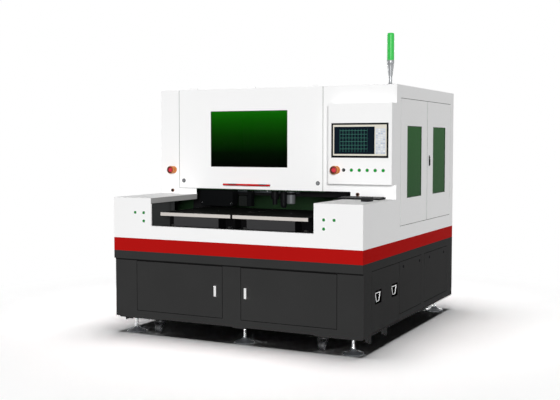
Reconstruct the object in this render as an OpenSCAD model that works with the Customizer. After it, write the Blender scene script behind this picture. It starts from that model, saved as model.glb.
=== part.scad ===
// Laser glass cutting machine: a charcoal base cabinet on levelling feet, a white
// table housing with two sliding worktables, and a white hood over the gantry.
// Millimetres. +Z is up, the operator stands at -Y, the origin is on the floor
// below the middle of the enclosure.

/* [Overall] */
// Width of the enclosure
body_w = 1800; // [1560:10:2200]
// Depth of the enclosure
body_d = 1880; // [1760:10:2300]
// Height of the table deck above the floor
deck_z = 920; // [880:5:1000]
// Height of the hood's roof above the floor
roof_z = 1660; // [1600:5:1990]
// Top of the base cabinet above the floor
base_z = 562; // [480:1:580]
// Gap between the floor and the base cabinet
floor_gap = 113; // [100:1:140]

/* [Sheet metal] */
// Thickness of the folded sheet
sheet = 3; // [2:0.5:4]
// Seam between a door or cover and its opening
seam = 3; // [2.6:0.2:6]
// Depth of a folded door or cover
leaf_d = 20; // [18:1:24]
// Width of the stop flange behind a door
stop_w = 15; // [12:1:25]

/* [Base cabinet] */
// Height of the lip round the cabinet's top
lip_h = 54; // [30:1:80]
// How far the cabinet stands back under its lip
lip_step = 16; // [8:1:30]
// Height of the coloured band above the lip
band_h = 87; // [50:1:110]
// Width of the front corners beside the doors
corner_w = 174; // [130:1:220]
// Width of the post between the two front doors
stile_w = 138; // [80:2:180]
// Gap between the front doors and the lip above them
door_gap = 14; // [6:1:20]
// Length of the middle cover on each side
cover_a_w = 455; // [380:5:520]
// Width of the post between the two rear covers on each side
cover_post = 69; // [40:1:120]
// Distance of the last side cover from the rear
cover_end = 140; // [90:5:200]
// Clear height under the front doors
door_sill = 50; // [30:1:80]

/* [Table housing] */
// Half the width of the loading bay between the cheeks
bay_half = 590; // [520:1:600]
// How far the bay's middle stands off the enclosure's middle
bay_x = -10; // [-20:1:20]
// Height of the apron's notch above the floor
notch_z = 735; // [715:1:760]
// Depth of the white lip folded down into the bay
cheek_lip = 36; // [20:1:60]
// Distance of the hood's front wall behind the apron
hood_y = 580; // [520:5:640]

/* [Lift door] */
// Width of the pillar left of the lift door
pillar_w = 155; // [120:1:200]
// Width of the column right of the lift door
column_w = 518; // [490:1:560]
// Clear height of the slot under the lift door
slot_h = 42; // [30:1:80]
// Depth of the lift door
lift_d = 42; // [30:1:50]
// Frame width beside the lift door's window
lift_frame_w = 262; // [150:1:300]
// Frame height above and below the window
lift_frame_h = 154; // [100:1:200]
// Distance between the lift door's hinges
hinge_pitch = 470; // [300:5:480]

/* [Side doors] */
// Wall left in front of and behind the side doors
side_margin = 84; // [70:1:120]
// Height of the side doors
side_door_h = 830; // [700:5:850]
// Frame round a side door's window, at its sides
side_frame_w = 130; // [80:1:160]
// Frame round a side door's window, above and below
side_frame_h = 176; // [100:1:200]
// Thickness of the window panes
pane_t = 5; // [3:0.5:8]

/* [Control box] */
// Width of the control box
box_w = 439; // [420:1:470]
// Height of the control box
box_h = 524; // [480:1:560]
// Depth of the control box
box_d = 90; // [60:1:120]
// Width of the monitor's bezel
monitor_w = 392; // [340:1:400]
// Height of the monitor's bezel
monitor_h = 224; // [190:1:240]
// Distance between the push buttons
button_pitch = 54.5; // [40:0.5:56]
// Radius of a push button's cap
button_r = 8.8; // [7:0.1:10.6]

/* [Worktables] */
// Width of one worktable
table_w = 529; // [440:1:532]
// Length of one worktable
table_l = 620; // [520:5:660]
// Thickness of the worktable plate
table_t = 22; // [16:1:30]
// Top of the worktables above the floor
table_z = 826; // [815:1:840]
// Distance of the worktables behind the apron
table_y = 34; // [12:1:60]
// Distance from a worktable's edge to each rail's middle
rail_offset = 49.5; // [40:0.5:60]
// Width of a linear rail
rail_w = 23; // [15:1:28]
// Height of a linear rail
rail_h = 22; // [15:1:26]

/* [Gantry] */
// Distance of the beam's face behind the apron
beam_y = 800; // [790:5:900]
// Depth of the beam
beam_d = 190; // [140:5:260]
// Underside of the beam above the floor
beam_z = 908; // [890:2:960]
// Height of the beam
beam_h = 290; // [240:5:350]
// Height of the cutting nozzle above the floor
nozzle_z = 834; // [832:1:860]
// Underside of the heads' castings above the floor
cast_z = 1000; // [970:5:1040]

/* [Feet and casters] */
// Radius of a levelling pad
pad_r = 66; // [50:1:75]
// Radius of a levelling stud
stud_r = 10; // [8:0.5:12]
// Radius of a caster wheel
wheel_r = 30; // [24:0.5:33]
// Gap kept under the caster wheels
wheel_gap = 8; // [4:1:16]

/* [Clearances] */
// Radial clearance of a pin in its bore
run = 0.06; // [0.02:0.01:0.1]
// Clearance of parts that slide past each other
slide = 0.3; // [0.2:0.05:0.6]

/* [Hidden] */
$fn = 48;
eps = 1;
white = "#F2F2F0";
charcoal = "#363636";
red = "#B01418";
dark = "#202224";
steel = "#B8BBBE";
green = "#0A8F14";

half_w = body_w / 2;
front = -body_d / 2;
back = body_d / 2;
band_z = base_z + band_h;
foot_plate_t = 10;
floor_plate_t = 6;
flange = 25;

// Base cabinet
base_x = half_w;
base_front = front + lip_step;
base_back = back;
lip_z = base_z - lip_h;
door_z0 = floor_gap + door_sill;
door_h = lip_z - door_gap - door_z0;
door_mid_z = door_z0 + door_h / 2;
cover_top = lip_z - 4;
cover_h = cover_top - door_z0;
cover_mid_z = door_z0 + cover_h / 2;
low_z0 = floor_gap + 12;
low_h = cover_top - low_z0;
low_mid_z = low_z0 + low_h / 2;
door_w = half_w - corner_w - stile_w / 2;
door_mid_x = stile_w / 2 + door_w / 2;
split_y = front + hood_y + side_margin - 7;
handle_cover = [front + 150, split_y - 6];
bail_mid = handle_cover[1] - 235;
rear_cover_a = [split_y + 6, split_y + 6 + cover_a_w];
rear_cover_b = [rear_cover_a[1] + cover_post, back - cover_end];
side_covers = [handle_cover, rear_cover_a, rear_cover_b];
side_mids = [low_mid_z, cover_mid_z, cover_mid_z];
side_heights = [low_h, cover_h, cover_h];
rear_cover_w = 700;
rear_cover_x = 400;
partition_y = split_y - sheet / 2;

// Pivots of the hinged leaves
pivot_in = 8;
pivot_y = 6;
pivot_r = 3;
pivot_boss = 16;
pivot_l = 12;
door_stop = leaf_d + 3;

// Hood
hood_front = front + hood_y;
side_y0 = hood_front + side_margin;
side_y1 = back - side_margin;
side_mid_y = (side_y0 + side_y1) / 2;
side_leaf_w = (side_y1 - side_y0 - 2 * seam) / 2;
side_z0 = deck_z - side_frame_h - 1;
side_mid_z = side_z0 + side_door_h / 2;
side_open_w = side_y1 - side_y0 + 2 * seam;
side_open_h = side_door_h + 2 * seam;
hood_post = 40;
cover_z = (band_z + roof_z) / 2;
rear_hood_w = 620;
rear_hood_h = roof_z - band_z - 230;

// Lift door
lift_x0 = -half_w + pillar_w;
lift_x1 = half_w - column_w;
lift_z0 = deck_z + slot_h;
lift_w = lift_x1 - lift_x0;
lift_h = roof_z - lift_z0;
lift_mid_x = (lift_x0 + lift_x1) / 2;
lift_mid_z = (lift_z0 + roof_z) / 2;
hinge_r = 6;
hinge_pin_r = 2.5;
hinge_y = hood_front + lift_d + hinge_r + 1;
hinge_z = roof_z + hinge_r;
hinge_xs = [for (i = [-1:1]) lift_mid_x + i * hinge_pitch];
lock_r = 11;
lock_inset = 35;
lock_z = lift_z0 + 52;
lock_cam = lock_z - lift_z0 + seam + 10;
lock_xs = [lift_x0 + lock_inset, lift_x1 - lock_inset];
slot_half = bay_half + 3;
bay_lip = 12;

// Control box and its fittings
box_x0 = half_w - box_w;
box_z0 = deck_z + 96;
box_front = hood_front - box_d;
monitor_x = box_x0 + box_w / 2 + 1;
monitor_z = box_z0 + 284;
control_z = box_z0 + 92;
estop_x = box_x0 + 60;
selector_x = box_x0 + 110;
button_xs = [for (i = [0:4]) selector_x + 55 + i * button_pitch];
estop_left_x = -half_w + 105;
estop_left_z = deck_z + 171;
ring_bore = button_r + slide;
ring_r = ring_bore + 1.4;
bezel_r = ring_r + 1;
press = 2.5;
start_r = 8;
start_len = 10;
start_left = [-half_w + 97, deck_z + 22];
start_right = [half_w - 264, deck_z + 26];
lamp_dx = 68;
lamp_dz = 55;
lamp_z = deck_z - 98;
lamp_x0 = bay_x - bay_half - 56;
lamp_x1 = bay_x + bay_half + 68;
lamps = [[lamp_x0, lamp_z], [lamp_x0 - lamp_dx, lamp_z], [lamp_x0, lamp_z - lamp_dz],
         [lamp_x1, lamp_z], [lamp_x1 + lamp_dx, lamp_z], [lamp_x1, lamp_z - lamp_dz]];
collar_r = 27;
collar_len = 52;
head_r = 16.5;
estop_bore = 9;
estop_travel = 5;

// Worktables, bed and rails
table_gap = 16;
table_x = table_w / 2 + table_gap / 2;
rail_dx = table_w / 2 - rail_offset;
ledge_w = 60;
bed_x = half_w - 120;
bed_top = notch_z - 55;
ledge_top = table_z - table_t - 84;
bed_y0 = front + 90;
bed_y1 = back - 90;
rail_y0 = bed_y0 + 10;
rail_y1 = front + table_y + table_l + 900;
block_l = 84;
block_w = 70;
saddle_w = 2 * rail_dx - block_w - 22;
rail_xs = [for (s = [-1, 1], o = [-1, 1]) bay_x + s * table_x + o * rail_dx];

// Gantry, carriage and heads
beam_front = front + beam_y;
beam_x = half_w - 100;
column_x = bay_half + 37;
column_t = 140;
beam_rails = [beam_z + 60, beam_z + beam_h - 60];
carriage_x = [-618, 134];
carriage_t = 16;
carriage_front = beam_front - rail_h - 10 - carriage_t;
guide_w = 20;
guide_d = 14;
head_back = carriage_front - 3;
head_front = head_back - 27;
lens_y = front + 690;
lens_xs = [-30, 38, 95];
split_x = [-612, -347];
blower_x = [split_x[1] + 40, split_x[1] + 104, split_x[1] + 136];
split_front = front + 648;

// Feet and casters
plate_z = floor_gap - foot_plate_t;
foot_plate_y = back - 115;
foot_x = half_w - 103;
foot_y = back - 110;
mid_foot_x = 45;
feet = [for (x = [-foot_x, mid_foot_x, foot_x], y = [-foot_y, foot_y]) [x, y]];
caster_x = half_w - 298;
caster_y = back - 105;
caster_trail = 20;
axle_z = wheel_gap + wheel_r;
axle_r = 4;
wheel_w = 28;
fork_half = wheel_w / 2 + 4;
fork_t = 4;
fork_top = 29;
race_z = plate_z - 14;
king_r = 6;

// Tower light
tower = [half_w - 70, front + 650];
lens_r = 23.5;
pole_top = roof_z + 57;
cup_z = roof_z + 136;
lens_z = roof_z + 159;
lens_h = 175;

// ---- Shapes used by several parts ----

// A box from corner p to corner q
module box(p, q) translate(p) cube(q - p);

// Children once as drawn and once mirrored to the other side
module both_sides() {
    children();
    mirror([1, 0, 0]) children();
}

// A cylinder along Y, from y = a to y = b
module rod_y(r, a, b) translate([0, a, 0]) rotate([-90, 0, 0]) cylinder(r = r, h = b - a);

// A cylinder along X, centred, h long
module rod_x(r, h) rotate([0, 90, 0]) cylinder(r = r, h = h, center = true);

// Places children, drawn facing -Y, on the front, right, left or rear plane
module facing_right(x, y, z) translate([x, y, z]) rotate([0, 0, 90]) children();
module facing_left(x, y, z) translate([x, y, z]) rotate([0, 0, -90]) children();
module facing_back(x, y, z) translate([x, y, z]) rotate([0, 0, 180]) children();

// The folded edge of an opening w x h, with a stop flange at depth stop
module jamb(w, h, stop) difference() {
    box([-w / 2 - sheet, 0, -h / 2 - sheet], [w / 2 + sheet, stop + sheet, h / 2 + sheet]);
    box([-w / 2, -eps, -h / 2], [w / 2, stop, h / 2]);
    box([-w / 2 + stop_w, 0, -h / 2 + stop_w],
        [w / 2 - stop_w, stop + sheet + eps, h / 2 - stop_w]);
}

// The cut that an opening makes in its wall
module wall_cut(w, h) box([-w / 2, -eps, -h / 2], [w / 2, sheet + eps, h / 2]);

// A folded tray, open at the back: the form of every door and cover
module tray(w, h, d) difference() {
    box([-w / 2, 0, -h / 2], [w / 2, d, h / 2]);
    box([-w / 2 + sheet, sheet, -h / 2 + sheet], [w / 2 - sheet, d - sheet, h / 2 - sheet]);
    box([-w / 2 + stop_w, sheet, -h / 2 + stop_w], [w / 2 - stop_w, d + eps, h / 2 - stop_w]);
}

// A hinged leaf with its pivots on the -X edge
module leaf(w, h) difference() {
    union() {
        tray(w, h, leaf_d);
        for (s = [-1, 1])
            translate([-w / 2, 0, s * (h - pivot_boss) / 2 - pivot_boss / 2])
                cube([pivot_boss, leaf_d, pivot_boss]);
    }
    for (s = [-1, 1])
        translate([-w / 2 + pivot_in, pivot_y, s * (h / 2 - pivot_l / 2 - 1)])
            cylinder(r = pivot_r + run, h = pivot_l + 2 + eps, center = true);
}

// The pins that carry such a leaf, welded into its jamb
module leaf_pins(w, h) for (s = [-1, 1])
    translate([-w / 2 + pivot_in, pivot_y, s * (h / 2 + (seam - pivot_l) / 2 + eps / 2)])
        cylinder(r = pivot_r, h = pivot_l + seam + eps, center = true);

// A pane glued behind the skin of a leaf
module pane(w, h) box([-w / 2 - 12, sheet, -h / 2 - 12], [w / 2 + 12, sheet + pane_t, h / 2 + 12]);

// Rows of ventilation slots, w wide in all, cut through a skin
module louvres(w, rows, columns) {
    pitch = w / columns;
    for (i = [0:columns - 1], j = [0:rows - 1])
        box([-w / 2 + (i + 0.12) * pitch, -eps, j * 18],
            [-w / 2 + (i + 0.88) * pitch, sheet + eps, j * 18 + 6]);
}

// A bow handle l long, bent from a flat bar w wide, with its grip gap off the door
module bow_handle(l, w, gap) {
    bar = 5;
    bend = 6;
    rotate([90, 0, 90]) linear_extrude(w, center = true) difference() {
        union() {
            translate([-gap - bar + bend, -l / 2]) square([gap + bar - bend, l]);
            translate([-gap - bar, -l / 2 + bend]) square([bend + eps, l - 2 * bend]);
            for (s = [-1, 1]) translate([-gap - bar + bend, s * (l / 2 - bend)]) circle(r = bend);
        }
        translate([-gap, -l / 2 + 9]) square([gap + eps, l - 18]);
    }
}

// A flush latch l long: a base with round ends, a paddle and a key cylinder
module latch(l, w) {
    rotate([90, 0, 0]) linear_extrude(3) {
        square([w, l - w], center = true);
        for (s = [-1, 1]) translate([0, s * (l - w) / 2]) circle(d = w);
    }
    box([-w / 2 + 1.5, -8, -l / 2 + 8], [w / 2 - 1.5, -2, l * 0.16]);
    translate([0, 0, l * 0.29]) rod_y(w * 0.36, -7, -2);
}

// Section of a linear rail standing on its base
module rail_section() polygon([[-rail_w / 2, 0], [rail_w / 2, 0], [rail_w / 2, rail_h * 0.3],
    [rail_w * 0.36, rail_h * 0.45], [rail_w * 0.36, rail_h * 0.7], [rail_w / 2, rail_h * 0.82],
    [rail_w / 2, rail_h], [-rail_w / 2, rail_h], [-rail_w / 2, rail_h * 0.82],
    [-rail_w * 0.36, rail_h * 0.7], [-rail_w * 0.36, rail_h * 0.45], [-rail_w / 2, rail_h * 0.3]]);

// ---- Base cabinet ----

module base_opening_cuts() {
    for (s = [-1, 1]) translate([s * door_mid_x, base_front, door_mid_z])
        wall_cut(door_w + 2 * seam, door_h + 2 * seam);
    for (i = [0:2]) let (c = side_covers[i]) {
        facing_right(base_x, (c[0] + c[1]) / 2, side_mids[i])
            wall_cut(c[1] - c[0] + 2 * seam, side_heights[i] + 2 * seam);
        facing_left(-base_x, (c[0] + c[1]) / 2, side_mids[i])
            wall_cut(c[1] - c[0] + 2 * seam, side_heights[i] + 2 * seam);
    }
    for (s = [-1, 1]) facing_back(s * rear_cover_x, base_back, cover_mid_z)
        wall_cut(rear_cover_w + 2 * seam, cover_h + 2 * seam);
}

module base_jambs() {
    for (s = [-1, 1]) translate([s * door_mid_x, base_front, door_mid_z]) {
        jamb(door_w + 2 * seam, door_h + 2 * seam, door_stop);
        mirror([s < 0 ? 0 : 1, 0, 0]) leaf_pins(door_w, door_h);
    }
    for (i = [0:2]) let (c = side_covers[i]) {
        facing_right(base_x, (c[0] + c[1]) / 2, side_mids[i])
            jamb(c[1] - c[0] + 2 * seam, side_heights[i] + 2 * seam, leaf_d);
        facing_left(-base_x, (c[0] + c[1]) / 2, side_mids[i])
            jamb(c[1] - c[0] + 2 * seam, side_heights[i] + 2 * seam, leaf_d);
    }
    for (s = [-1, 1]) facing_back(s * rear_cover_x, base_back, cover_mid_z)
        jamb(rear_cover_w + 2 * seam, cover_h + 2 * seam, leaf_d);
}

// Plates under the floor that carry the feet and the casters
module foot_plates() for (y = [-foot_plate_y, foot_plate_y]) {
    both_sides() box([half_w - 330, y - 85, plate_z], [base_x - 18, y + 85, floor_gap]);
    box([mid_foot_x - 45, y - 85, plate_z], [mid_foot_x + 45, y + 85, floor_gap]);
}

// Angle lugs under the sides, for the anchor bolts
module anchor_lugs() both_sides() for (y = [front + 118, front + 397]) difference() {
    box([base_x - 40, y, floor_gap - 45], [base_x - 3, y + 38, floor_gap]);
    box([base_x - 41, y - eps, floor_gap - 46], [base_x - 7, y + 34, floor_gap - 4]);
}

module base_cabinet() color(charcoal) {
    difference() {
        union() {
            difference() {
                union() {
                    box([-base_x, base_front, floor_gap], [base_x, base_back, base_z]);
                    box([-half_w, front, lip_z], [half_w, back, base_z]);
                }
                box([-base_x + sheet, base_front + sheet, floor_gap + floor_plate_t],
                    [base_x - sheet, base_back - sheet, base_z - floor_plate_t]);
                base_opening_cuts();
            }
            base_jambs();
            box([-base_x + sheet - eps, partition_y, floor_gap + floor_plate_t - eps],
                [base_x - sheet + eps, partition_y + sheet, base_z - floor_plate_t + eps]);
            foot_plates();
            anchor_lugs();
        }
        for (f = feet) translate([f[0], f[1], plate_z - eps])
            cylinder(r = stud_r + run, h = foot_plate_t + floor_plate_t + 2 * eps);
    }
}

// The dish in which a bail handle lies
dish_w = 112;
dish_h = 84;
dish_d = 14;
bail_r = 5;
bail_pivot = 24;
bail_ys = [for (i = [-1, 1]) bail_mid + i * 149];
bail_z = floor_gap + 224;

module base_covers() color(charcoal) {
    h = cover_h;
    difference() {
        union() {
            facing_right(base_x, (handle_cover[0] + handle_cover[1]) / 2, low_mid_z)
                tray(handle_cover[1] - handle_cover[0], low_h, leaf_d);
            for (y = bail_ys) facing_right(base_x, y, bail_z)
                box([-dish_w / 2 - 8, 0, -dish_h / 2 - 8], [dish_w / 2 + 8, dish_d + sheet, dish_h / 2 + 8]);
        }
        for (y = bail_ys) facing_right(base_x, y, bail_z) {
            box([-dish_w / 2, -eps, -dish_h / 2], [dish_w / 2, dish_d, dish_h / 2]);
            translate([0, dish_d / 2, bail_pivot]) rod_x(3 + run, dish_w + 12);
        }
    }
    facing_left(-base_x, (handle_cover[0] + handle_cover[1]) / 2, low_mid_z)
        tray(handle_cover[1] - handle_cover[0], low_h, leaf_d);
    for (c = [rear_cover_a, rear_cover_b]) {
        facing_right(base_x, (c[0] + c[1]) / 2, cover_mid_z) tray(c[1] - c[0], h, leaf_d);
        facing_left(-base_x, (c[0] + c[1]) / 2, cover_mid_z) tray(c[1] - c[0], h, leaf_d);
    }
    for (s = [-1, 1]) facing_back(s * rear_cover_x, base_back, cover_mid_z) difference() {
        tray(rear_cover_w, h, leaf_d);
        translate([0, 0, -40]) louvres(rear_cover_w - 160, 6, 6);
    }
}

// A folding bail: a barrel on two short pins and a loop that hangs from it
module bail() {
    rod_x(3, dish_w + 8);
    rod_x(bail_r, dish_w - 2);
    drop = dish_h / 2 + bail_pivot - bail_r - 8;
    for (s = [-1, 1]) hull() {
        translate([s * (dish_w / 2 - 14), 0, 0]) sphere(r = 4, $fn = 24);
        translate([s * (dish_w / 2 - 34), 0, -drop]) sphere(r = 4, $fn = 24);
    }
    translate([0, 0, -drop]) rod_x(4, dish_w - 68);
}

module bail_front() color(steel) facing_right(base_x - dish_d / 2, bail_ys[0], bail_z + bail_pivot) bail();
module bail_rear() color(steel) facing_right(base_x - dish_d / 2, bail_ys[1], bail_z + bail_pivot) bail();

// Front doors, hinged at their outer edges
module front_door_left() color(charcoal)
    translate([-door_mid_x, base_front, door_mid_z]) leaf(door_w, door_h);
module front_door_right() color(charcoal)
    translate([door_mid_x, base_front, door_mid_z]) mirror([1, 0, 0]) leaf(door_w, door_h);

handle_in = 41;
handle_l = 72;
module front_handle(x) translate([x, base_front, door_mid_z + 7.5]) bow_handle(handle_l, 17, 17);
module front_handle_left() color(steel) front_handle(-stile_w / 2 - handle_in);
module front_handle_right() color(steel) front_handle(stile_w / 2 + handle_in);

// Mounting plates and modules of the electrical cabinet, against the partition
module electronics() color("#9AA0A4") {
    plate_y = partition_y - 3;
    z0 = floor_gap + floor_plate_t + 40;
    z1 = base_z - floor_plate_t - 40;
    for (s = [-1, 1]) box([s * door_mid_x - door_w * 0.42, plate_y, z0],
                          [s * door_mid_x + door_w * 0.42, partition_y, z1]);
    step = door_w * 0.84 / 6;
    for (i = [0:5]) {
        x = -door_mid_x - door_w * 0.42 + (i + 0.1) * step;
        box([x, plate_y - 150, z1 - 175], [x + step * 0.7, plate_y, z1 - 20]);
        box([x, plate_y - 70, z0 + 20], [x + step * 0.8, plate_y, z0 + 95]);
    }
    box([-door_mid_x - door_w * 0.4, plate_y - 60, z0 + 105],
        [-door_mid_x + door_w * 0.4, plate_y, z0 + 145]);
    box([door_mid_x - door_w * 0.36, plate_y - 180, z0 + 15],
        [door_mid_x + door_w * 0.02, plate_y, z0 + 215]);
    box([door_mid_x + door_w * 0.1, plate_y - 120, z0 + 15],
        [door_mid_x + door_w * 0.38, plate_y, z0 + 120]);
    box([door_mid_x + door_w * 0.1, plate_y - 90, z0 + 140],
        [door_mid_x + door_w * 0.38, plate_y, z1 - 20]);
}

// ---- Band, bed and table housing ----

// A wall ring with folded flanges at its top and bottom
module band_ring(z0, z1) difference() {
    box([-half_w, front, z0], [half_w, back, z1]);
    box([-half_w + sheet, front + sheet, z0 + sheet], [half_w - sheet, back - sheet, z1 - sheet]);
    box([-half_w + flange, front + flange, z0 - eps], [half_w - flange, back - flange, z1 + eps]);
}

module colour_band() color(red) band_ring(base_z, band_z);

module machine_bed() color(dark) {
    box([-bed_x, bed_y0, base_z], [bed_x, bed_y1, bed_top]);
    for (x = rail_xs)
        box([x - ledge_w / 2, rail_y0, bed_top - eps], [x + ledge_w / 2, rail_y1, ledge_top]);
}

// Dark sheets that close the bay's sides and the gap in front of the bed
module bay_liner() color(charcoal) {
    liner_x = bay_half + 17;
    liner_l = 250;
    post_l = 84;
    translate([bay_x, 0, 0]) both_sides() {
        box([liner_x, front + sheet, notch_z - 42], [liner_x + sheet, front + liner_l, deck_z - sheet]);
        box([liner_x + 14, front + liner_l, notch_z - 42],
            [liner_x + 14 + sheet, front + liner_l + post_l, deck_z - sheet]);
        box([liner_x, front + liner_l - eps, notch_z - 42],
            [liner_x + 14 + sheet, front + liner_l + sheet, deck_z - sheet]);
    }
    box([bay_x - liner_x - sheet, front + sheet, notch_z - 45],
        [bay_x + liner_x + sheet, bed_y0 - 2, notch_z - 42 + eps]);
}

module table_housing() color(white) {
    difference() {
        union() {
            difference() {
                box([-half_w, front, band_z], [half_w, hood_front, deck_z]);
                box([-half_w + sheet, front + sheet, band_z - eps],
                    [half_w - sheet, hood_front + eps, deck_z - sheet]);
            }
            translate([bay_x, 0, 0]) {
                both_sides() {
                    box([bay_half, front, deck_z - cheek_lip], [bay_half + sheet, hood_front, deck_z]);
                    box([bay_half, front, notch_z - sheet], [bay_half + sheet, front + bay_lip, deck_z]);
                }
                box([-bay_half - sheet, front, notch_z - sheet],
                    [bay_half + sheet, front + flange, notch_z]);
            }
            box([-half_w + sheet, front, band_z], [half_w - sheet, front + flange, band_z + sheet]);
        }
        box([bay_x - bay_half, front - eps, notch_z], [bay_x + bay_half, hood_front + eps, deck_z + eps]);
        for (p = lamps) translate([p[0], front, p[1]]) rod_y(ring_r + 0.1, -eps, sheet + eps);
    }
}

// ---- Hood ----

module hood_shell() color(white) {
    difference() {
        union() {
            difference() {
                box([-half_w, hood_front, band_z], [half_w, back, roof_z]);
                box([-half_w + sheet, hood_front + sheet, band_z - eps],
                    [half_w - sheet, back - sheet, roof_z - sheet]);
            }
            for (sx = [-1, 1], y = [hood_front, back - hood_post])
                box([sx * (half_w - hood_post / 2) - hood_post / 2, y, deck_z],
                    [sx * (half_w - hood_post / 2) + hood_post / 2, y + hood_post, roof_z]);
            box([lift_x0 - seam - sheet, hood_front, lift_z0 - seam - sheet],
                [lift_x0 - seam, hood_front + lift_d, roof_z]);
            box([lift_x1 + seam, hood_front, lift_z0 - seam - sheet],
                [lift_x1 + seam + sheet, hood_front + lift_d, roof_z]);
            box([lift_x0 - seam - sheet, hood_front, lift_z0 - seam - sheet],
                [lift_x1 + seam + sheet, hood_front + lift_d, lift_z0 - seam]);
        }
        box([-half_w + sheet, hood_front - eps, band_z - 2 * eps],
            [half_w - sheet, hood_front + sheet + eps, deck_z]);
        box([bay_x - slot_half, hood_front - eps, deck_z - eps],
            [bay_x + slot_half, hood_front + sheet + eps, lift_z0]);
        box([lift_x0 - seam, hood_front - eps, lift_z0 - seam],
            [lift_x1 + seam, hood_front + lift_d + 2 * hinge_r - 1, roof_z + eps]);
        facing_right(half_w, side_mid_y, side_mid_z) wall_cut(side_open_w, side_open_h);
        facing_left(-half_w, side_mid_y, side_mid_z) wall_cut(side_open_w, side_open_h);
        for (s = [-1, 1]) facing_back(s * (rear_hood_w / 2 + 20), back, cover_z)
            wall_cut(rear_hood_w + 2 * seam, rear_hood_h + 2 * seam);
        box([box_x0 + 20, hood_front - eps, box_z0 + 24],
            [half_w - hood_post - 4, hood_front + sheet + eps, box_z0 + box_h - 24]);
        translate([estop_left_x, hood_front, estop_left_z]) rod_y(estop_bore + 3.1, -eps, hood_post + 2);
        for (p = [start_left, start_right])
            translate([p[0], hood_front, p[1]]) rod_y(start_r + 1.8, -eps, hood_post + 2);
    }
    facing_right(half_w, side_mid_y, side_mid_z) {
        jamb(side_open_w, side_open_h, door_stop);
        box([-30, door_stop, -side_open_h / 2], [30, door_stop + sheet, side_open_h / 2]);
        translate([-(side_leaf_w + 2 * seam) / 2, 0, 0]) leaf_pins(side_leaf_w, side_door_h);
        mirror([1, 0, 0]) translate([-(side_leaf_w + 2 * seam) / 2, 0, 0])
            leaf_pins(side_leaf_w, side_door_h);
    }
    facing_left(-half_w, side_mid_y, side_mid_z) {
        jamb(side_open_w, side_open_h, leaf_d);
        box([-30, leaf_d, -side_open_h / 2], [30, leaf_d + sheet, side_open_h / 2]);
    }
    for (s = [-1, 1]) facing_back(s * (rear_hood_w / 2 + 20), back, cover_z)
        jamb(rear_hood_w + 2 * seam, rear_hood_h + 2 * seam, leaf_d);
    for (x = hinge_xs) translate([x, hinge_y, roof_z]) {
        box([-30, hinge_r + 1, 0], [30, 40, 3]);
        box([-9.5, 0, 0], [9.5, hinge_r + 1 + eps, 3]);
        translate([0, 0, hinge_r]) {
            rod_x(hinge_r, 19);
            rod_x(hinge_pin_r, 58);
        }
    }
}

module hood_covers() color(white) {
    for (s = [-1, 1]) {
        facing_left(-half_w, side_mid_y + s * (side_leaf_w / 2 + seam), side_mid_z)
            tray(side_leaf_w, side_door_h, leaf_d);
        facing_back(s * (rear_hood_w / 2 + 20), back, cover_z)
            tray(rear_hood_w, rear_hood_h, leaf_d);
    }
}

// Lift door, its window, its handle and its two quarter-turn locks
module lift_window_cut() box([lift_x0 + lift_frame_w, hood_front - eps, lift_z0 + lift_frame_h],
                             [lift_x1 - lift_frame_w, hood_front + sheet + eps, roof_z - lift_frame_h]);

module lift_door() color(white) difference() {
    union() {
        translate([lift_mid_x, hood_front, lift_mid_z]) tray(lift_w, lift_h, lift_d);
        for (x = lock_xs) translate([x, hood_front, lock_z]) rod_y(lock_r + 5, sheet - eps, lift_d);
        for (x = hinge_xs, s = [-1, 1]) translate([x + s * 20.5, hinge_y, roof_z]) {
            box([-9.5, -34, -eps], [9.5, -hinge_r * 0.4, 3]);
            translate([0, 0, hinge_r]) rod_x(hinge_r, 19);
        }
    }
    lift_window_cut();
    for (x = lock_xs) translate([x, hood_front, lock_z]) rod_y(lock_r + run, -eps, lift_d + eps);
    for (x = hinge_xs) translate([x, hinge_y, hinge_z]) rod_x(hinge_pin_r + run, 64);
}

module lift_window() color("#1C4A20")
    translate([lift_mid_x, hood_front, lift_mid_z])
        pane(lift_w - 2 * lift_frame_w, lift_h - 2 * lift_frame_h);

lift_handle_w = 364;
module lift_handle() color(red) translate([lift_mid_x, hood_front, lift_z0 + 32]) {
    translate([0, -34, 0]) rotate([0, 90, 0]) linear_extrude(lift_handle_w, center = true) circle(r = 7);
    for (s = [-1, 1]) translate([s * (lift_handle_w / 2 - 34), 0, 0])
        box([-24, -34, -5], [24, 0, 5]);
}

module lift_lock() {
    rod_y(lock_r, -3, lift_d + 3);
    box([-9, lift_d + 3 - eps, -7], [lock_cam, lift_d + 6, 7]);
}
module lift_lock_left() color(steel) translate([lock_xs[0], hood_front, lock_z]) lift_lock();
module lift_lock_right() color(steel)
    translate([lock_xs[1], hood_front, lock_z]) mirror([1, 0, 0]) lift_lock();

// Side doors of the hood, with their panes and the handle
side_win_w = side_leaf_w - 2 * side_frame_w;
side_win_h = side_door_h - 2 * side_frame_h;
module side_leaf() difference() {
    leaf(side_leaf_w, side_door_h);
    box([-side_win_w / 2, -eps, -side_win_h / 2], [side_win_w / 2, sheet + eps, side_win_h / 2]);
}
module on_side_door(s) facing_right(half_w, side_mid_y, side_mid_z)
    mirror([s < 0 ? 0 : 1, 0, 0]) translate([-side_leaf_w / 2 - seam, 0, 0]) children();
module side_door_front() color(white) on_side_door(-1) side_leaf();
module side_door_rear() color(white) on_side_door(1) side_leaf();
module side_window_front() color("#3E7A44") on_side_door(-1) pane(side_win_w, side_win_h);
module side_window_rear() color("#3E7A44") on_side_door(1) pane(side_win_w, side_win_h);
module side_door_handle() color(dark)
    facing_right(half_w, side_mid_y + 44, side_mid_z) latch(76, 16);

// ---- Control box and its fittings ----

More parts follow.
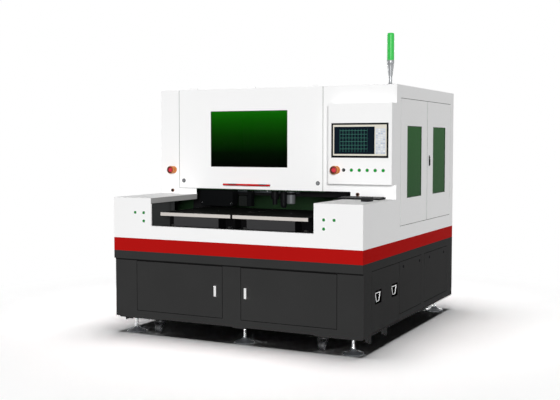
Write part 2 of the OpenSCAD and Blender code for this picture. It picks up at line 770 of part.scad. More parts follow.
module control_box() color(white) difference() {
    box([box_x0, box_front, box_z0], [half_w, hood_front, box_z0 + box_h]);
    box([box_x0 + sheet, box_front + sheet, box_z0 + sheet],
        [half_w - sheet, hood_front + eps, box_z0 + box_h - sheet]);
    box([monitor_x - monitor_w / 2 + 8, box_front - eps, monitor_z - monitor_h / 2 + 8],
        [monitor_x + monitor_w / 2 - 8, box_front + sheet + eps, monitor_z + monitor_h / 2 - 8]);
    for (x = concat([selector_x], button_xs))
        translate([x, box_front, control_z]) rod_y(ring_r + 0.1, -eps, sheet + eps);
    translate([estop_x, box_front, control_z]) rod_y(estop_bore + 3.1, -eps, sheet + eps);
}

module monitor() color(dark) translate([monitor_x, box_front, monitor_z]) difference() {
    union() {
        box([-monitor_w / 2, -5, -monitor_h / 2], [monitor_w / 2, 0, monitor_h / 2]);
        box([-monitor_w / 2 + 9, -eps, -monitor_h / 2 + 9], [monitor_w / 2 - 9, 38, monitor_h / 2 - 9]);
    }
    box([-monitor_w / 2 + 11, -5 - eps, -monitor_h / 2 + 13],
        [monitor_w / 2 - 11, -3.5, monitor_h / 2 - 11]);
}

// A bezel and barrel, drawn with the panel's face at y = 0
module button_ring(stand) difference() {
    union() {
        rod_y(bezel_r, -2 - stand, 0);
        rod_y(ring_r, -eps, 22);
    }
    rod_y(ring_bore, -3 - stand, 23);
}

// A barrel that stands proud of the wall, for a start button
module start_barrel() difference() {
    union() {
        rod_y(start_r + 3.5, -start_len, 0);
        rod_y(start_r + 1.7, -eps, 30);
    }
    rod_y(start_r + slide, -start_len - eps, 31);
}

module button_rings() {
    color(steel) for (x = button_xs) translate([x, box_front, control_z]) button_ring(0);
    color(dark) translate([selector_x, box_front, control_z]) button_ring(0);
    color("#7A4A2A") for (p = [start_left, start_right]) translate([p[0], hood_front, p[1]]) start_barrel();
}

module panel_button(i) translate([button_xs[i], box_front, control_z]) {
    rod_y(button_r, -5.5, 3);
    rod_y(button_r - 3, 3 - eps, 18);
}
module panel_button_1() color(green) panel_button(0);
module panel_button_2() color(green) panel_button(1);
module panel_button_3() color(green) panel_button(2);
module panel_button_4() color(green) panel_button(3);
module panel_button_5() color(green) panel_button(4);

module start_button(p) translate([p[0], hood_front, p[1]]) {
    rod_y(start_r, -start_len - 3, -start_len + 8);
    rod_y(start_r - 2, -start_len + 7, 24);
}
module start_button_left() color(dark) start_button(start_left);
module start_button_right() color(dark) start_button(start_right);

module selector_knob() color(dark) translate([selector_x, box_front, control_z]) {
    rod_y(button_r, -6, 3);
    rod_y(button_r - 3, 3 - eps, 18);
    box([-2.5, -14, -button_r + 0.6], [2.5, -5, button_r - 0.6]);
}

// Shroud of an emergency stop: a base ring, a waist and a guard ring round the head
module estop_collar() {
    waist = collar_r - 4.5;
    inner = collar_r - 5.5;
    bore = estop_bore + slide;
    rotate([90, 0, 0]) rotate_extrude()
        polygon([[bore, 0], [collar_r - 1, 0], [collar_r - 1, 11], [waist, 16],
                 [waist, collar_len - 19], [collar_r, collar_len - 14], [collar_r, collar_len - 2],
                 [collar_r - 2, collar_len], [inner, collar_len], [inner, 28], [bore, 28]]);
    difference() {
        rod_y(estop_bore + 3, -eps, hood_post + 12);
        rod_y(bore, -2 * eps, hood_post + 13);
    }
}

// Dark sleeve between the guard ring and the head
module estop_sleeve() difference() {
    rod_y(collar_r - 5.5 + eps / 2, -collar_len + 9, -27);
    rod_y(head_r + 1.2, -collar_len, -26);
}

module estop_collars() for (p = [[estop_x, box_front, control_z], [estop_left_x, hood_front, estop_left_z]])
    translate(p) {
        color("#C8801E") estop_collar();
        color(dark) estop_sleeve();
    }

// Mushroom head on its stem, domed in front
module estop_head() {
    dome_r = 50;
    intersection() {
        rod_y(head_r, -collar_len + 1, -collar_len + 15);
        translate([0, -collar_len + 1 + dome_r, 0]) sphere(r = dome_r, $fn = 64);
    }
    rod_y(estop_bore, -collar_len + 14, 20);
}
module estop_head_left() color(red) translate([estop_left_x, hood_front, estop_left_z]) estop_head();
module estop_head_right() color(red) translate([estop_x, box_front, control_z]) estop_head();

// Pilot lamps of the two worktables: bezel, lens and barrel in one sealed unit
module pilot_lamps() color(green) for (p = lamps) translate([p[0], front, p[1]]) {
    rod_y(bezel_r, -2, 0);
    rod_y(button_r, -5, -2 + eps);
    rod_y(ring_r, -eps, 24);
}

// Tower light: flange, pole, cone and cup, then the lens
module tower_pole() color(steel) translate([tower[0], tower[1], 0]) rotate_extrude()
    polygon([[0, roof_z], [26, roof_z], [26, roof_z + 5], [11, roof_z + 9], [11, pole_top],
             [13, pole_top], [lens_r - 1, cup_z], [lens_r, cup_z + 2], [lens_r, lens_z], [0, lens_z]]);

module tower_lens() color(green) translate([tower[0], tower[1], lens_z]) rotate_extrude()
    polygon([[0, 0], [lens_r - 0.5, 0], [lens_r - 0.5, lens_h - 8], [lens_r - 4, lens_h - 1],
             [lens_r - 8, lens_h], [0, lens_h]]);

// Keyboard and mouse, which rest on the right cheek's deck
keyboard_w = 285;
keyboard_l = 120;
module keyboard_set() color(charcoal) {
    key_x1 = half_w - 70;
    key_y1 = hood_front - 5;
    translate([key_x1, key_y1, deck_z]) rotate([90, 0, -90])
        linear_extrude(keyboard_w) polygon([[0, 0], [0, 12], [8, 13], [keyboard_l - 3, 8],
                                            [keyboard_l, 5], [keyboard_l, 0]]);
    translate([key_x1 - 30, key_y1 - 255, deck_z]) intersection() {
        linear_extrude(40) {
            square([60, 46], center = true);
            for (s = [-1, 1]) translate([0, s * 23]) circle(r = 30);
        }
        rotate([90, 0, 90]) linear_extrude(60, center = true) intersection() {
            translate([-50, 0]) square([100, 34]);
            translate([8, -64]) circle(r = 90);
        }
    }
}

// ---- Worktables ----

// Plate with vacuum grooves in its top
module worktable(s) translate([bay_x + s * table_x, front + table_y, table_z]) difference() {
    box([-table_w / 2, 0, -table_t], [table_w / 2, table_l, 0]);
    for (i = [1:7]) translate([0, i * table_l / 8, 0])
        box([-table_w / 2 + 40, -2, -2], [table_w / 2 - 40, 2, eps]);
    for (i = [-2:2]) translate([i * table_w / 6, 0, 0])
        box([-2, 40, -2], [2, table_l - 40, eps]);
}
module left_table() color(steel) worktable(-1);
module right_table() color(steel) worktable(1);

// Vacuum box below the plate, and four risers that straddle the rails
module saddle(s) translate([bay_x + s * table_x, front + table_y, 0]) {
    under = table_z - table_t;
    box([-saddle_w / 2, 15, ledge_top + 18], [saddle_w / 2, table_l - 24, under]);
    for (o = [-1, 1], y = [90, table_l - 40 - block_l])
        translate([o * rail_dx, y, 0]) difference() {
            box([-block_w / 2, 0, ledge_top + 6], [block_w / 2, block_l, under]);
            box([-rail_w / 2 - slide, -eps, ledge_top + 5],
                [rail_w / 2 + slide, block_l + eps, ledge_top + rail_h + slide]);
        }
}
module left_saddle() color(charcoal) saddle(-1);
module right_saddle() color(charcoal) saddle(1);

module linear_rails() color(steel) {
    for (x = rail_xs) translate([x, rail_y1 - 6, ledge_top]) rotate([90, 0, 0])
        linear_extrude(rail_y1 - rail_y0 - 12) rail_section();
    for (z = beam_rails) translate([-beam_x + 30, beam_front, z]) rotate([90, 0, 90])
        rotate(90) linear_extrude(2 * beam_x - 60) rail_section();
}

// ---- Gantry ----

module gantry() color("#8C8F92") {
    box([-beam_x, beam_front, beam_z], [beam_x, beam_front + beam_d, beam_z + beam_h]);
    both_sides() {
        box([column_x, beam_front, bed_top], [column_x + column_t, beam_front + beam_d, beam_z + eps]);
        box([column_x + 20, beam_front + beam_d - eps, bed_top],
            [column_x + column_t - 20, beam_front + beam_d + 150, bed_top + 30]);
    }
}

// A bearing block that straddles a rail on the beam
module beam_block(x, z) difference() {
    box([x, beam_front - rail_h - 10 - eps, z - 30], [x + block_l, beam_front - 3, z + 30]);
    box([x - eps, beam_front - rail_h - slide, z - rail_w / 2 - slide],
        [x + block_l + eps, beam_front, z + rail_w / 2 + slide]);
}

module guide_bar(x) box([x - guide_w / 2, carriage_front - guide_d, cast_z],
                        [x + guide_w / 2, carriage_front + eps, cast_z + 240]);

cut_guides = [lens_xs[0] - 2, lens_xs[2] + 2];
split_guides = [split_x[0] + 40, split_x[1] - 40];

module x_carriage() color("#5A5E62") {
    box([carriage_x[0], carriage_front, beam_z + 22],
        [carriage_x[1], carriage_front + carriage_t, beam_z + beam_h + 20]);
    for (z = beam_rails, x = [carriage_x[0] + 20, (carriage_x[0] + carriage_x[1] - block_l) / 2,
                              carriage_x[1] - 20 - block_l]) beam_block(x, z);
    for (x = concat(cut_guides, split_guides)) guide_bar(x);
}

// Channels for the guide bars, cut in a head's back plate
module guide_cuts(xs) for (x = xs)
    box([x - guide_w / 2 - slide, carriage_front - guide_d - slide, cast_z - 100],
        [x + guide_w / 2 + slide, carriage_front + eps, cast_z + 400]);

// Cutting head: back plate, casting, camera, cutting lens and focus sensor
module cutting_head() {
    color(dark) {
        difference() {
            box([lens_xs[0] - 35, head_front, cast_z], [lens_xs[2] + 35, head_back, cast_z + 170]);
            guide_cuts(cut_guides);
        }
        box([lens_xs[0] - 33, lens_y - 34, cast_z], [lens_xs[2] + 33, head_front + eps, cast_z + 110]);
        translate([lens_xs[0], lens_y, nozzle_z + 20]) {
            cylinder(r = 17, h = 40);
            translate([0, 0, 39]) cylinder(r = 26, h = cast_z - nozzle_z - 58);
        }
        translate([lens_xs[1], lens_y, nozzle_z]) {
            cylinder(r1 = 15, r2 = 22, h = 16);
            translate([0, 0, 15]) cylinder(r = 22, h = cast_z - nozzle_z - 14);
        }
    }
    color("#B9BCBF") translate([lens_xs[2], lens_y, nozzle_z + 28]) {
        cylinder(r1 = 27, r2 = 30, h = 6);
        translate([0, 0, 5]) cylinder(r = 30, h = cast_z - nozzle_z - 32);
    }
}

// Splitting head: a closed housing, and a blower that its bracket carries beside it
module splitting_head() {
    top = cast_z + 170;
    half = (split_x[1] - split_x[0]) / 2;
    color("#18191B") {
        difference() {
            box([split_x[0], head_front, cast_z - 50], [blower_x[2] + 4, head_back, cast_z + 200]);
            guide_cuts(split_guides);
            box([split_x[1] + 20, head_front - eps, cast_z + 60],
                [blower_x[2] + 5, head_back + eps, cast_z + 201]);
        }
        difference() {
            translate([split_x[0] + half, head_front + eps, 0]) rotate([90, 0, 0])
                linear_extrude(head_front - split_front)
                    polygon([[-half, nozzle_z + 8], [-half + 8, nozzle_z], [half - 8, nozzle_z],
                             [half, nozzle_z + 8], [half, top - 30], [half - 30, top],
                             [-half + 30, top], [-half, top - 30]]);
            translate([split_x[0] + half, (split_front + head_front) / 2, nozzle_z - eps])
                cylinder(r = 22, h = 40);
        }
        box([blower_x[1], lens_y - 14, nozzle_z + 2], [blower_x[2], head_front + eps, cast_z + 40]);
    }
    color("#A9ABAC") difference() {
        box([blower_x[0], lens_y - 22, nozzle_z + 4], [blower_x[1] + eps, lens_y + 26, nozzle_z + 76]);
        for (i = [0:3], j = [0:4])
            box([blower_x[0] + 7 + i * 13, lens_y - 23, nozzle_z + 11 + j * 12.4],
                [blower_x[0] + 17 + i * 13, lens_y - 19, nozzle_z + 20 + j * 12.4]);
    }
}

// ---- Feet and casters ----

// A levelling pad: a bell on a flat rim, with a socket for the stud
module pad() difference() {
    rotate_extrude() polygon([[0, 0], [pad_r, 0], [pad_r, 4], [pad_r - 3, 7], [pad_r * 0.7, 12],
                              [pad_r * 0.45, 18], [pad_r * 0.28, 26], [pad_r * 0.22, 34], [0, 34]]);
    translate([0, 0, 14]) cylinder(r = stud_r + run, h = 30);
}

module levelling_feet() color(steel) for (f = feet) translate([f[0], f[1], 0]) {
    pad();
    translate([0, 0, 14]) cylinder(r = stud_r, h = floor_gap + floor_plate_t + 20 - 14);
    translate([0, 0, plate_z - 12]) difference() {
        cylinder(r = stud_r * 1.7, h = 12, $fn = 6);
        translate([0, 0, -eps]) cylinder(r = stud_r + run, h = 12 + 2 * eps);
    }
}

// The two cheeks and the axle of a caster, below z = top. The cheeks close in from
// fork_top to fork_half, and narrow from the plate to the axle
module caster_cheeks(top) {
    for (s = [-1, 1]) intersection() {
        rotate([90, 0, 0]) linear_extrude(120, center = true)
            polygon([for (p = [[fork_half, axle_z - 10], [fork_half + fork_t, axle_z - 10],
                               [fork_half + fork_t, axle_z + 12], [fork_top + fork_t, top],
                               [fork_top, top], [fork_half, axle_z + 12]]) [s * p[0], p[1]]]);
        rotate([90, 0, 90]) linear_extrude(120, center = true) {
            polygon([[-22, top + eps], [22, top + eps],
                     [-caster_trail + 8, axle_z - 3], [-caster_trail - 8, axle_z + 3]]);
            translate([-caster_trail, axle_z]) circle(r = 9);
        }
    }
    translate([0, -caster_trail, axle_z]) rod_x(axle_r, 2 * (fork_half + fork_t) + 6);
}

module caster_fork() {
    translate([0, 0, race_z - 8]) cylinder(r = fork_top + fork_t + 3, h = 8 - slide);
    translate([0, 0, race_z - slide - eps]) cylinder(r = king_r, h = 10);
    caster_cheeks(race_z - 8 + eps);
}

// Fixed top plates: swivel races in front, rigid forks at the rear
module caster_mounts() color(dark) both_sides() {
    translate([caster_x, -caster_y, 0]) difference() {
        union() {
            box([-45, -38, plate_z - 5], [45, 38, plate_z]);
            translate([0, 0, race_z]) cylinder(r = 25, h = 10);
        }
        translate([0, 0, race_z - eps]) cylinder(r = king_r + run, h = 11 + eps);
    }
    translate([caster_x, caster_y, 0]) {
        box([-45, -38, plate_z - 5], [45, 38, plate_z]);
        caster_cheeks(plate_z - 4);
    }
}

module caster_fork_left() color(dark) translate([-caster_x, -caster_y, 0]) caster_fork();
module caster_fork_right() color(dark) translate([caster_x, -caster_y, 0]) caster_fork();

// A wheel with a raised hub and a rounded tread
module wheel() {
    w = wheel_w / 2;
    hub = fork_half - 0.5;
    difference() {
        rotate([0, 90, 0]) rotate_extrude()
            polygon([[0, -hub], [8, -hub], [9, 2 - w], [wheel_r - 8, 2 - w], [wheel_r - 6, -w],
                     [wheel_r - 2, -w], [wheel_r, 4 - w], [wheel_r, w - 4], [wheel_r - 2, w],
                     [wheel_r - 6, w], [wheel_r - 8, w - 2], [9, w - 2], [8, hub], [0, hub]]);
        rod_x(axle_r + run, 2 * fork_half + 2);
    }
}
module wheel_at(sx, sy) translate([sx * caster_x, sy * caster_y - caster_trail, axle_z]) wheel();
module wheel_front_left() color(dark) wheel_at(-1, -1);
module wheel_front_right() color(dark) wheel_at(1, -1);
module wheel_rear_left() color(dark) wheel_at(-1, 1);
module wheel_rear_right() color(dark) wheel_at(1, 1);

base_cabinet();
base_covers();
machine_bed();
bay_liner();
table_housing();
colour_band();
hood_shell();
hood_covers();
control_box();
monitor();
button_rings();
estop_collars();
pilot_lamps();
tower_pole();
tower_lens();
keyboard_set();
gantry();
linear_rails();
levelling_feet();
caster_mounts();
electronics();
lift_door();
lift_window();
lift_handle();
lift_lock_left();
lift_lock_right();
front_door_left();
front_door_right();
front_handle_left();
front_handle_right();
side_door_front();
side_door_rear();
side_window_front();
side_window_rear();
side_door_handle();
bail_front();
bail_rear();
estop_head_left();
estop_head_right();
selector_knob();
panel_button_1();
panel_button_2();
panel_button_3();
panel_button_4();
panel_button_5();
start_button_left();
start_button_right();
left_table();
right_table();
left_saddle();
right_saddle();
x_carriage();
cutting_head();
splitting_head();
caster_fork_left();
caster_fork_right();
wheel_front_left();
wheel_front_right();
wheel_rear_left();
wheel_rear_right();
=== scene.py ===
import math

import bpy
import numpy as np
from mathutils import Matrix


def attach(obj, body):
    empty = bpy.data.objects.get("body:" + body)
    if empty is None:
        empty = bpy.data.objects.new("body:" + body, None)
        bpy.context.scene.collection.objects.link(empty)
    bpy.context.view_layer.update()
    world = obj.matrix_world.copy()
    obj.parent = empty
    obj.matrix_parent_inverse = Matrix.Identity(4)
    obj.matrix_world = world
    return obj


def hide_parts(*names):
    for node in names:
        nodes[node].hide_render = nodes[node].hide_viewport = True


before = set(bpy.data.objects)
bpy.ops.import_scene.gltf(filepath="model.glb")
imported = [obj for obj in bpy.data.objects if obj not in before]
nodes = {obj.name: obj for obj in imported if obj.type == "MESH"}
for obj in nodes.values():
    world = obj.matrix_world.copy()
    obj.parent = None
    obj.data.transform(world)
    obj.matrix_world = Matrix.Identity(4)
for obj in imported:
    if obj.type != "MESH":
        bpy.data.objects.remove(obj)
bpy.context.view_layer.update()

# ---- Studio ----
# A pale matt floor that runs off into the white of the walls, one wide soft lamp overhead, a broad
# low key from the front, and three soft fills for the sides and the back. Flags shade all but the
# overhead lamp off the floor, so that the machine stands on its own soft shadow.


def linear(code, alpha=1.0):
    """Linear colour of an sRGB hex code: each channel c becomes ((c + 0.055) / 1.055) ** 2.4,
    or c / 12.92 where it is below 0.04045."""
    c = np.array([int(code[i : i + 2], 16) for i in (1, 3, 5)]) / 255
    c = np.where(c <= 0.04045, c / 12.92, ((c + 0.055) / 1.055) ** 2.4)
    return (*c.tolist(), alpha)


def node(tree, kind, links=None, **settings):
    """Adds one shader node. Settings are attributes, or sockets where the key has no such
    attribute. Links give socket name or number: (node, output name or number)."""
    n = tree.nodes.new(kind)
    for key, value in settings.items():
        if hasattr(n, key):
            setattr(n, key, value)
        else:
            n.inputs[key.replace("_", " ")].default_value = value
    for socket, (other, output) in (links or {}).items():
        tree.links.new(other.outputs[output], n.inputs[socket])
    return n


def blank_material(name):
    """A material with an empty tree, and the tree."""
    m = bpy.data.materials.new(name)
    m.use_nodes = True
    m.node_tree.nodes.clear()
    return m, m.node_tree


def seen_directly(tree):
    """1 on camera, glossy and transmission rays, else 0: the sum of the three, clamped."""
    rays = node(tree, "ShaderNodeLightPath")
    links = {0: (rays, "Is Camera Ray"), 1: (rays, "Is Glossy Ray")}
    two = node(tree, "ShaderNodeMath", links, operation="ADD")
    links = {0: (two, 0), 1: (rays, "Is Transmission Ray")}
    return node(tree, "ShaderNodeMath", links, operation="ADD", use_clamp=True)


world = bpy.data.worlds.new("studio_white")
bpy.context.scene.world = world
world.use_nodes = True
wt = world.node_tree
wt.nodes.clear()
level = node(wt, "ShaderNodeMapRange", {"Value": (seen_directly(wt), 0)}, To_Min=0.002, To_Max=1.0)
backing = node(wt, "ShaderNodeBackground", {"Strength": (level, "Result")}, Color=(1, 1, 1, 1))
node(wt, "ShaderNodeOutputWorld", {"Surface": (backing, "Background")})

floor_mesh = bpy.data.meshes.new("floor")
reach = 30.0
corners = [(-reach, -reach, 0), (reach, -reach, 0), (reach, reach, 0), (-reach, reach, 0)]
floor_mesh.from_pydata(corners, [], [(0, 1, 2, 3)])
floor = bpy.data.objects.new("floor", floor_mesh)
bpy.context.scene.collection.objects.link(floor)
floor_paint, ft = blank_material("matt_floor_paint")
seen = seen_directly(ft)
paleness = node(ft, "ShaderNodeMapRange", {"Value": (seen, 0)}, To_Min=0.5, To_Max=4.1)
matt = node(ft, "ShaderNodeBsdfDiffuse", {"Color": (paleness, "Result")})
white_wall = node(ft, "ShaderNodeEmission", Color=(1, 1, 1, 1), Strength=1.0)
place = node(ft, "ShaderNodeTexCoord")
far = node(ft, "ShaderNodeVectorMath", {0: (place, "Object")}, operation="LENGTH")
run_off = node(
    ft, "ShaderNodeMapRange", {"Value": (far, "Value")},
    From_Min=1.7, From_Max=3.0, interpolation_type="SMOOTHSTEP",
)
share = node(ft, "ShaderNodeMath", {0: (run_off, 0), 1: (seen, 0)}, operation="MULTIPLY")
both = node(ft, "ShaderNodeMixShader", {0: (share, 0), 1: (matt, 0), 2: (white_wall, 0)})
node(ft, "ShaderNodeOutputMaterial", {"Surface": (both, 0)})
floor_mesh.materials.append(floor_paint)


def area_lamp(name, place, aim, size, watts):
    """A square soft lamp at place, turned to face aim."""
    lamp = bpy.data.lights.new(name, "AREA")
    lamp.shape, lamp.size, lamp.energy = "SQUARE", size, watts
    o = bpy.data.objects.new(name, lamp)
    way = np.array(aim, float) - np.array(place, float)
    way /= np.linalg.norm(way)
    yaw, pitch = math.atan2(-way[0], way[1]), math.asin(way[2])
    turn = Matrix.Rotation(yaw, 4, "Z") @ Matrix.Rotation(math.pi / 2 + pitch, 4, "X")
    o.matrix_world = Matrix.Translation(place) @ turn
    bpy.context.scene.collection.objects.link(o)
    return o


def key_light(azimuth, elevation, strength, spread):
    """A far soft key: a sun whose disc is spread degrees wide, from an azimuth right of the front."""
    lamp = bpy.data.lights.new("key_light", "SUN")
    lamp.energy, lamp.angle = strength, math.radians(spread)
    o = bpy.data.objects.new("key_light", lamp)
    o.rotation_euler = (math.radians(90 - elevation), 0, math.radians(azimuth))
    bpy.context.scene.collection.objects.link(o)
    return o


area_lamp("top_lamp", (0.0, 0.0, 8.0), (0.0, 0.0, 0.0), 5.0, 165)
flagged = [
    key_light(25.5, 7.0, 3.3, 12.0),
    area_lamp("right_fill", (9.0, 1.5, 1.2), (0.0, 0.0, 1.0), 3.0, 100),
    area_lamp("rear_fill", (-2.5, 9.5, 1.6), (0.0, 0.0, 1.0), 4.0, 640),
    area_lamp("left_fill", (-9.5, 0.5, 1.6), (0.0, 0.0, 1.0), 4.0, 520),
]
flags = bpy.data.collections.new("floor_flags")
flags.objects.link(floor)
for lamp in flagged:
    lamp.light_linking.receiver_collection = flags
flags.collection_objects[0].light_linking.link_state = "EXCLUDE"

camera_data = bpy.data.cameras.new("camera")
camera_data.lens, camera_data.sensor_width = 59.37, 36.0
camera = bpy.data.objects.new("camera", camera_data)
camera.location = (2.881, -6.005, 1.281)
camera_down, camera_round = 3.51, 26.52
camera.rotation_euler = (math.radians(90 - camera_down), 0, math.radians(camera_round))
bpy.context.scene.collection.objects.link(camera)
bpy.context.scene.camera = camera
bpy.context.scene.view_settings.view_transform = "Standard"


# ---- Base cabinet ----
# Folded steel sheet, powder-coated in a fine charcoal texture. A black strip under the front lip
# stands for the lip's shadow on the doors: painted shade. Quarter-turn fasteners hold the side covers,
# and the two rear covers are screwed on and have pressed louvres over their slots.

half_w, front, back = 0.900, -0.940, 0.940
base_front, lip_z = front + 0.016, 0.508


def finish(names, material):
    """Gives each named CAD node this material."""
    for name in names:
        for s in nodes[name].material_slots:
            s.material = material


def in_box(low, high):
    """A zone that is 1 where the point lies in the box from low to high, in metres, else 0: the
    largest of |p - centre| - half over the three axes is below zero."""

    def mask(tree, where):
        low_a, high_a = np.array(low, float), np.array(high, float)
        off = node(tree, "ShaderNodeVectorMath", {0: (where, "Object")}, operation="SUBTRACT")
        off.inputs[1].default_value = ((low_a + high_a) / 2).tolist()
        size = node(tree, "ShaderNodeVectorMath", {0: (off, 0)}, operation="ABSOLUTE")
        over = node(tree, "ShaderNodeVectorMath", {0: (size, 0)}, operation="SUBTRACT")
        over.inputs[1].default_value = ((high_a - low_a) / 2).tolist()
        axes = node(tree, "ShaderNodeSeparateXYZ", {0: (over, 0)})
        most = node(tree, "ShaderNodeMath", {0: (axes, 0), 1: (axes, 1)}, operation="MAXIMUM")
        most = node(tree, "ShaderNodeMath", {0: (most, 0), 1: (axes, 2)}, operation="MAXIMUM")
        inside = node(tree, "ShaderNodeMath", {0: (most, 0)}, operation="LESS_THAN")
        inside.inputs[1].default_value = 0.0
        return inside

    return mask


def in_round(centre, along, radius):
    """A zone that is 1 nearer than radius to the line through centre along an axis (0, 1 or 2),
    else 0: the length of p - centre without its part along that axis."""

    def mask(tree, where):
        off = node(tree, "ShaderNodeVectorMath", {0: (where, "Object")}, operation="SUBTRACT")
        off.inputs[1].default_value = centre
        flat = node(tree, "ShaderNodeVectorMath", {0: (off, 0)}, operation="MULTIPLY")
        flat.inputs[1].default_value = [0.0 if i == along else 1.0 for i in range(3)]
        far = node(tree, "ShaderNodeVectorMath", {0: (flat, 0)}, operation="LENGTH")
        inside = node(tree, "ShaderNodeMath", {0: (far, "Value")}, operation="LESS_THAN")
        inside.inputs[1].default_value = radius
        return inside

    return mask


def skin(
    name, colour, roughness, grain_mm, depth_mm, edge_mm=1.0, mottle=0.02, spread=0.12, ior=1.5, metallic=0.0,
    stretch=(1, 1, 1), zones=(), glow=0.0,
):
    """A finish with a grain. Noise whose cells are grain_mm across, drawn out by stretch, lifts it
    by depth_mm and varies its roughness by the share spread. Slow clouds change its tone by the
    share mottle, edges turn over edge_mm, and each zone (mask, colour, roughness, metallic) takes
    over where its mask is 1."""
    m, t = blank_material(name)
    where = node(t, "ShaderNodeTexCoord")
    drawn = node(t, "ShaderNodeMapping", {"Vector": (where, "Object")}, Scale=stretch)
    grain = node(t, "ShaderNodeTexNoise", {"Vector": (drawn, "Vector")}, Scale=1000 / grain_mm, Detail=3.0)
    cloud = node(t, "ShaderNodeTexNoise", {"Vector": (where, "Object")}, Scale=4.0, Detail=2.0)
    noise_span = {"From_Min": 0.3, "From_Max": 0.7}
    tone = node(
        t, "ShaderNodeMapRange", {"Value": (cloud, 0)}, To_Min=1 - mottle, To_Max=1 + mottle, **noise_span
    )
    shade = node(t, "ShaderNodeHueSaturation", {"Value": (tone, "Result")}, Color=linear(colour))
    change = node(
        t, "ShaderNodeMapRange", {"Value": (grain, 0)}, To_Min=1 - spread, To_Max=1 + spread, **noise_span
    )
    gloss = node(t, "ShaderNodeMath", {0: (change, "Result")}, operation="MULTIPLY")
    gloss.inputs[1].default_value = roughness
    edge = node(t, "ShaderNodeBevel", samples=4, Radius=edge_mm / 1000)
    links = {"Height": (grain, 0), "Normal": (edge, "Normal")}
    bump = node(t, "ShaderNodeBump", links, Distance=depth_mm / 1000)
    body = node(
        t, "ShaderNodeBsdfPrincipled",
        {"Base Color": (shade, "Color"), "Roughness": (gloss, 0), "Normal": (bump, "Normal")},
        IOR=ior, Metallic=metallic, Emission_Color=linear(colour), Emission_Strength=glow,
    )
    # Each channel: the mix's kind, its two inputs and its output, the starting value, and the
    # socket that the last mix feeds.
    channels = [
        ("RGBA", 6, 7, 2, linear(colour), shade.inputs["Color"]),
        ("FLOAT", 2, 3, 0, roughness, gloss.inputs[1]),
        ("FLOAT", 2, 3, 0, metallic, body.inputs["Metallic"]),
    ]
    last = [None] * 3
    for mask, zone_colour, *rest in zones:
        inside = mask(t, where)
        for i, value in enumerate((linear(zone_colour), *rest)):
            kind, old, new, out, start, _ = channels[i]
            mix = node(t, "ShaderNodeMix", {"Factor": (inside, 0)}, data_type=kind)
            mix.inputs[old].default_value, mix.inputs[new].default_value = start, value
            if last[i]:
                t.links.new(last[i].outputs[out], mix.inputs[old])
            last[i] = mix
    for mix, (_, _, _, out, _, socket) in zip(last, channels):
        if mix:
            t.links.new(mix.outputs[out], socket)
    node(t, "ShaderNodeOutputMaterial", {"Surface": (body, "BSDF")})
    return m


# Powder coat cured over a coarse grain: nearly black, matt, faintly speckled. Painted shade: the walls
# of the gaps round the front doors, the side covers and the rear covers are near black from just below the
# skin.
below = 0.0004
gap_painted_shade = [
    (in_box(low, high), "#030303", 0.9, 0.0)
    for low, high in (
        ((-0.7305, base_front + below, 0.1585), (0.7305, -0.880, 0.4985)),
        ((-half_w + below, -0.7945, 0.120), (half_w - below, 0.8045, 0.5075)),
        ((-0.7545, 0.700, 0.1585), (0.7545, back - below, 0.5075)),
    )
]
charcoal_coat = skin(
    "charcoal_textured_powder_coat", "#343434", 0.7, 1.4, 0.05, ior=1.06, mottle=0.04, zones=gap_painted_shade
)
finish(["base_cabinet", "base_covers", "front_door_left", "front_door_right"], charcoal_coat)


def grid(points, wrap_u=False, wrap_v=False):
    """Points and triangles of a grid of points: each cell gives two triangles, and a wrapped
    direction joins its last row to its first."""
    nu, nv = points.shape[:2]
    i = np.arange(nu if wrap_u else nu - 1)[:, None]
    j = np.arange(nv if wrap_v else nv - 1)[None, :]
    i2, j2 = (i + 1) % nu, (j + 1) % nv
    cell = np.broadcast_arrays(i * nv + j, i2 * nv + j, i2 * nv + j2, i * nv + j2)
    quads = np.stack(cell, -1).reshape(-1, 4)
    return points.reshape(-1, 3), np.concatenate([quads[:, [0, 1, 2]], quads[:, [0, 2, 3]]])


def closed(points, tris):
    """Merges points that coincide, drops the triangles that this flattens, and turns the shell
    outwards: its signed volume, the sum of a . (b x c) / 6, is positive."""
    keys = np.round(points * 1e6).astype(np.int64)
    _, first, same = np.unique(keys, axis=0, return_index=True, return_inverse=True)
    points, tris = points[first], same.reshape(-1)[tris]
    a, b, c = tris.T
    tris = tris[(a != b) & (b != c) & (c != a)]
    p = points[tris] - points.mean(axis=0)
    if np.einsum("ij,ij->", p[:, 0], np.cross(p[:, 1], p[:, 2])) < 0:
        tris = tris[:, ::-1]
    return points, tris


def turned(profile, sides=32, rib=0.0, ribs=0):
    """A turned shape in millimetres: profile point (r, h) at angle a goes to (r cos a, r sin a, h),
    with r times 1 + rib cos(ribs a). A profile from axis to axis gives a closed shell."""
    r, h = np.array(profile, float).T[:, :, None] / 1000
    a = np.arange(sides)[None, :] * 2 * math.pi / sides
    r = r * (1 + rib * np.cos(ribs * a))
    return closed(*grid(np.stack([r * np.cos(a), r * np.sin(a), h + 0 * a], -1), wrap_v=True))


def swept(profile, length, taper=1.0):
    """A closed profile in x and y, in millimetres, carried length along z and closed to its middle
    at both ends. The far end is taper times as large."""
    p = np.array(profile, float) / 1000
    mid = p.mean(axis=0)
    rings = [(mid + 0 * p, 0), (p, 0), (mid + (p - mid) * taper, length / 1000), (mid + 0 * p, length / 1000)]
    return closed(*grid(np.stack([np.column_stack([q, np.full(len(p), z)]) for q, z in rings]), wrap_v=True))


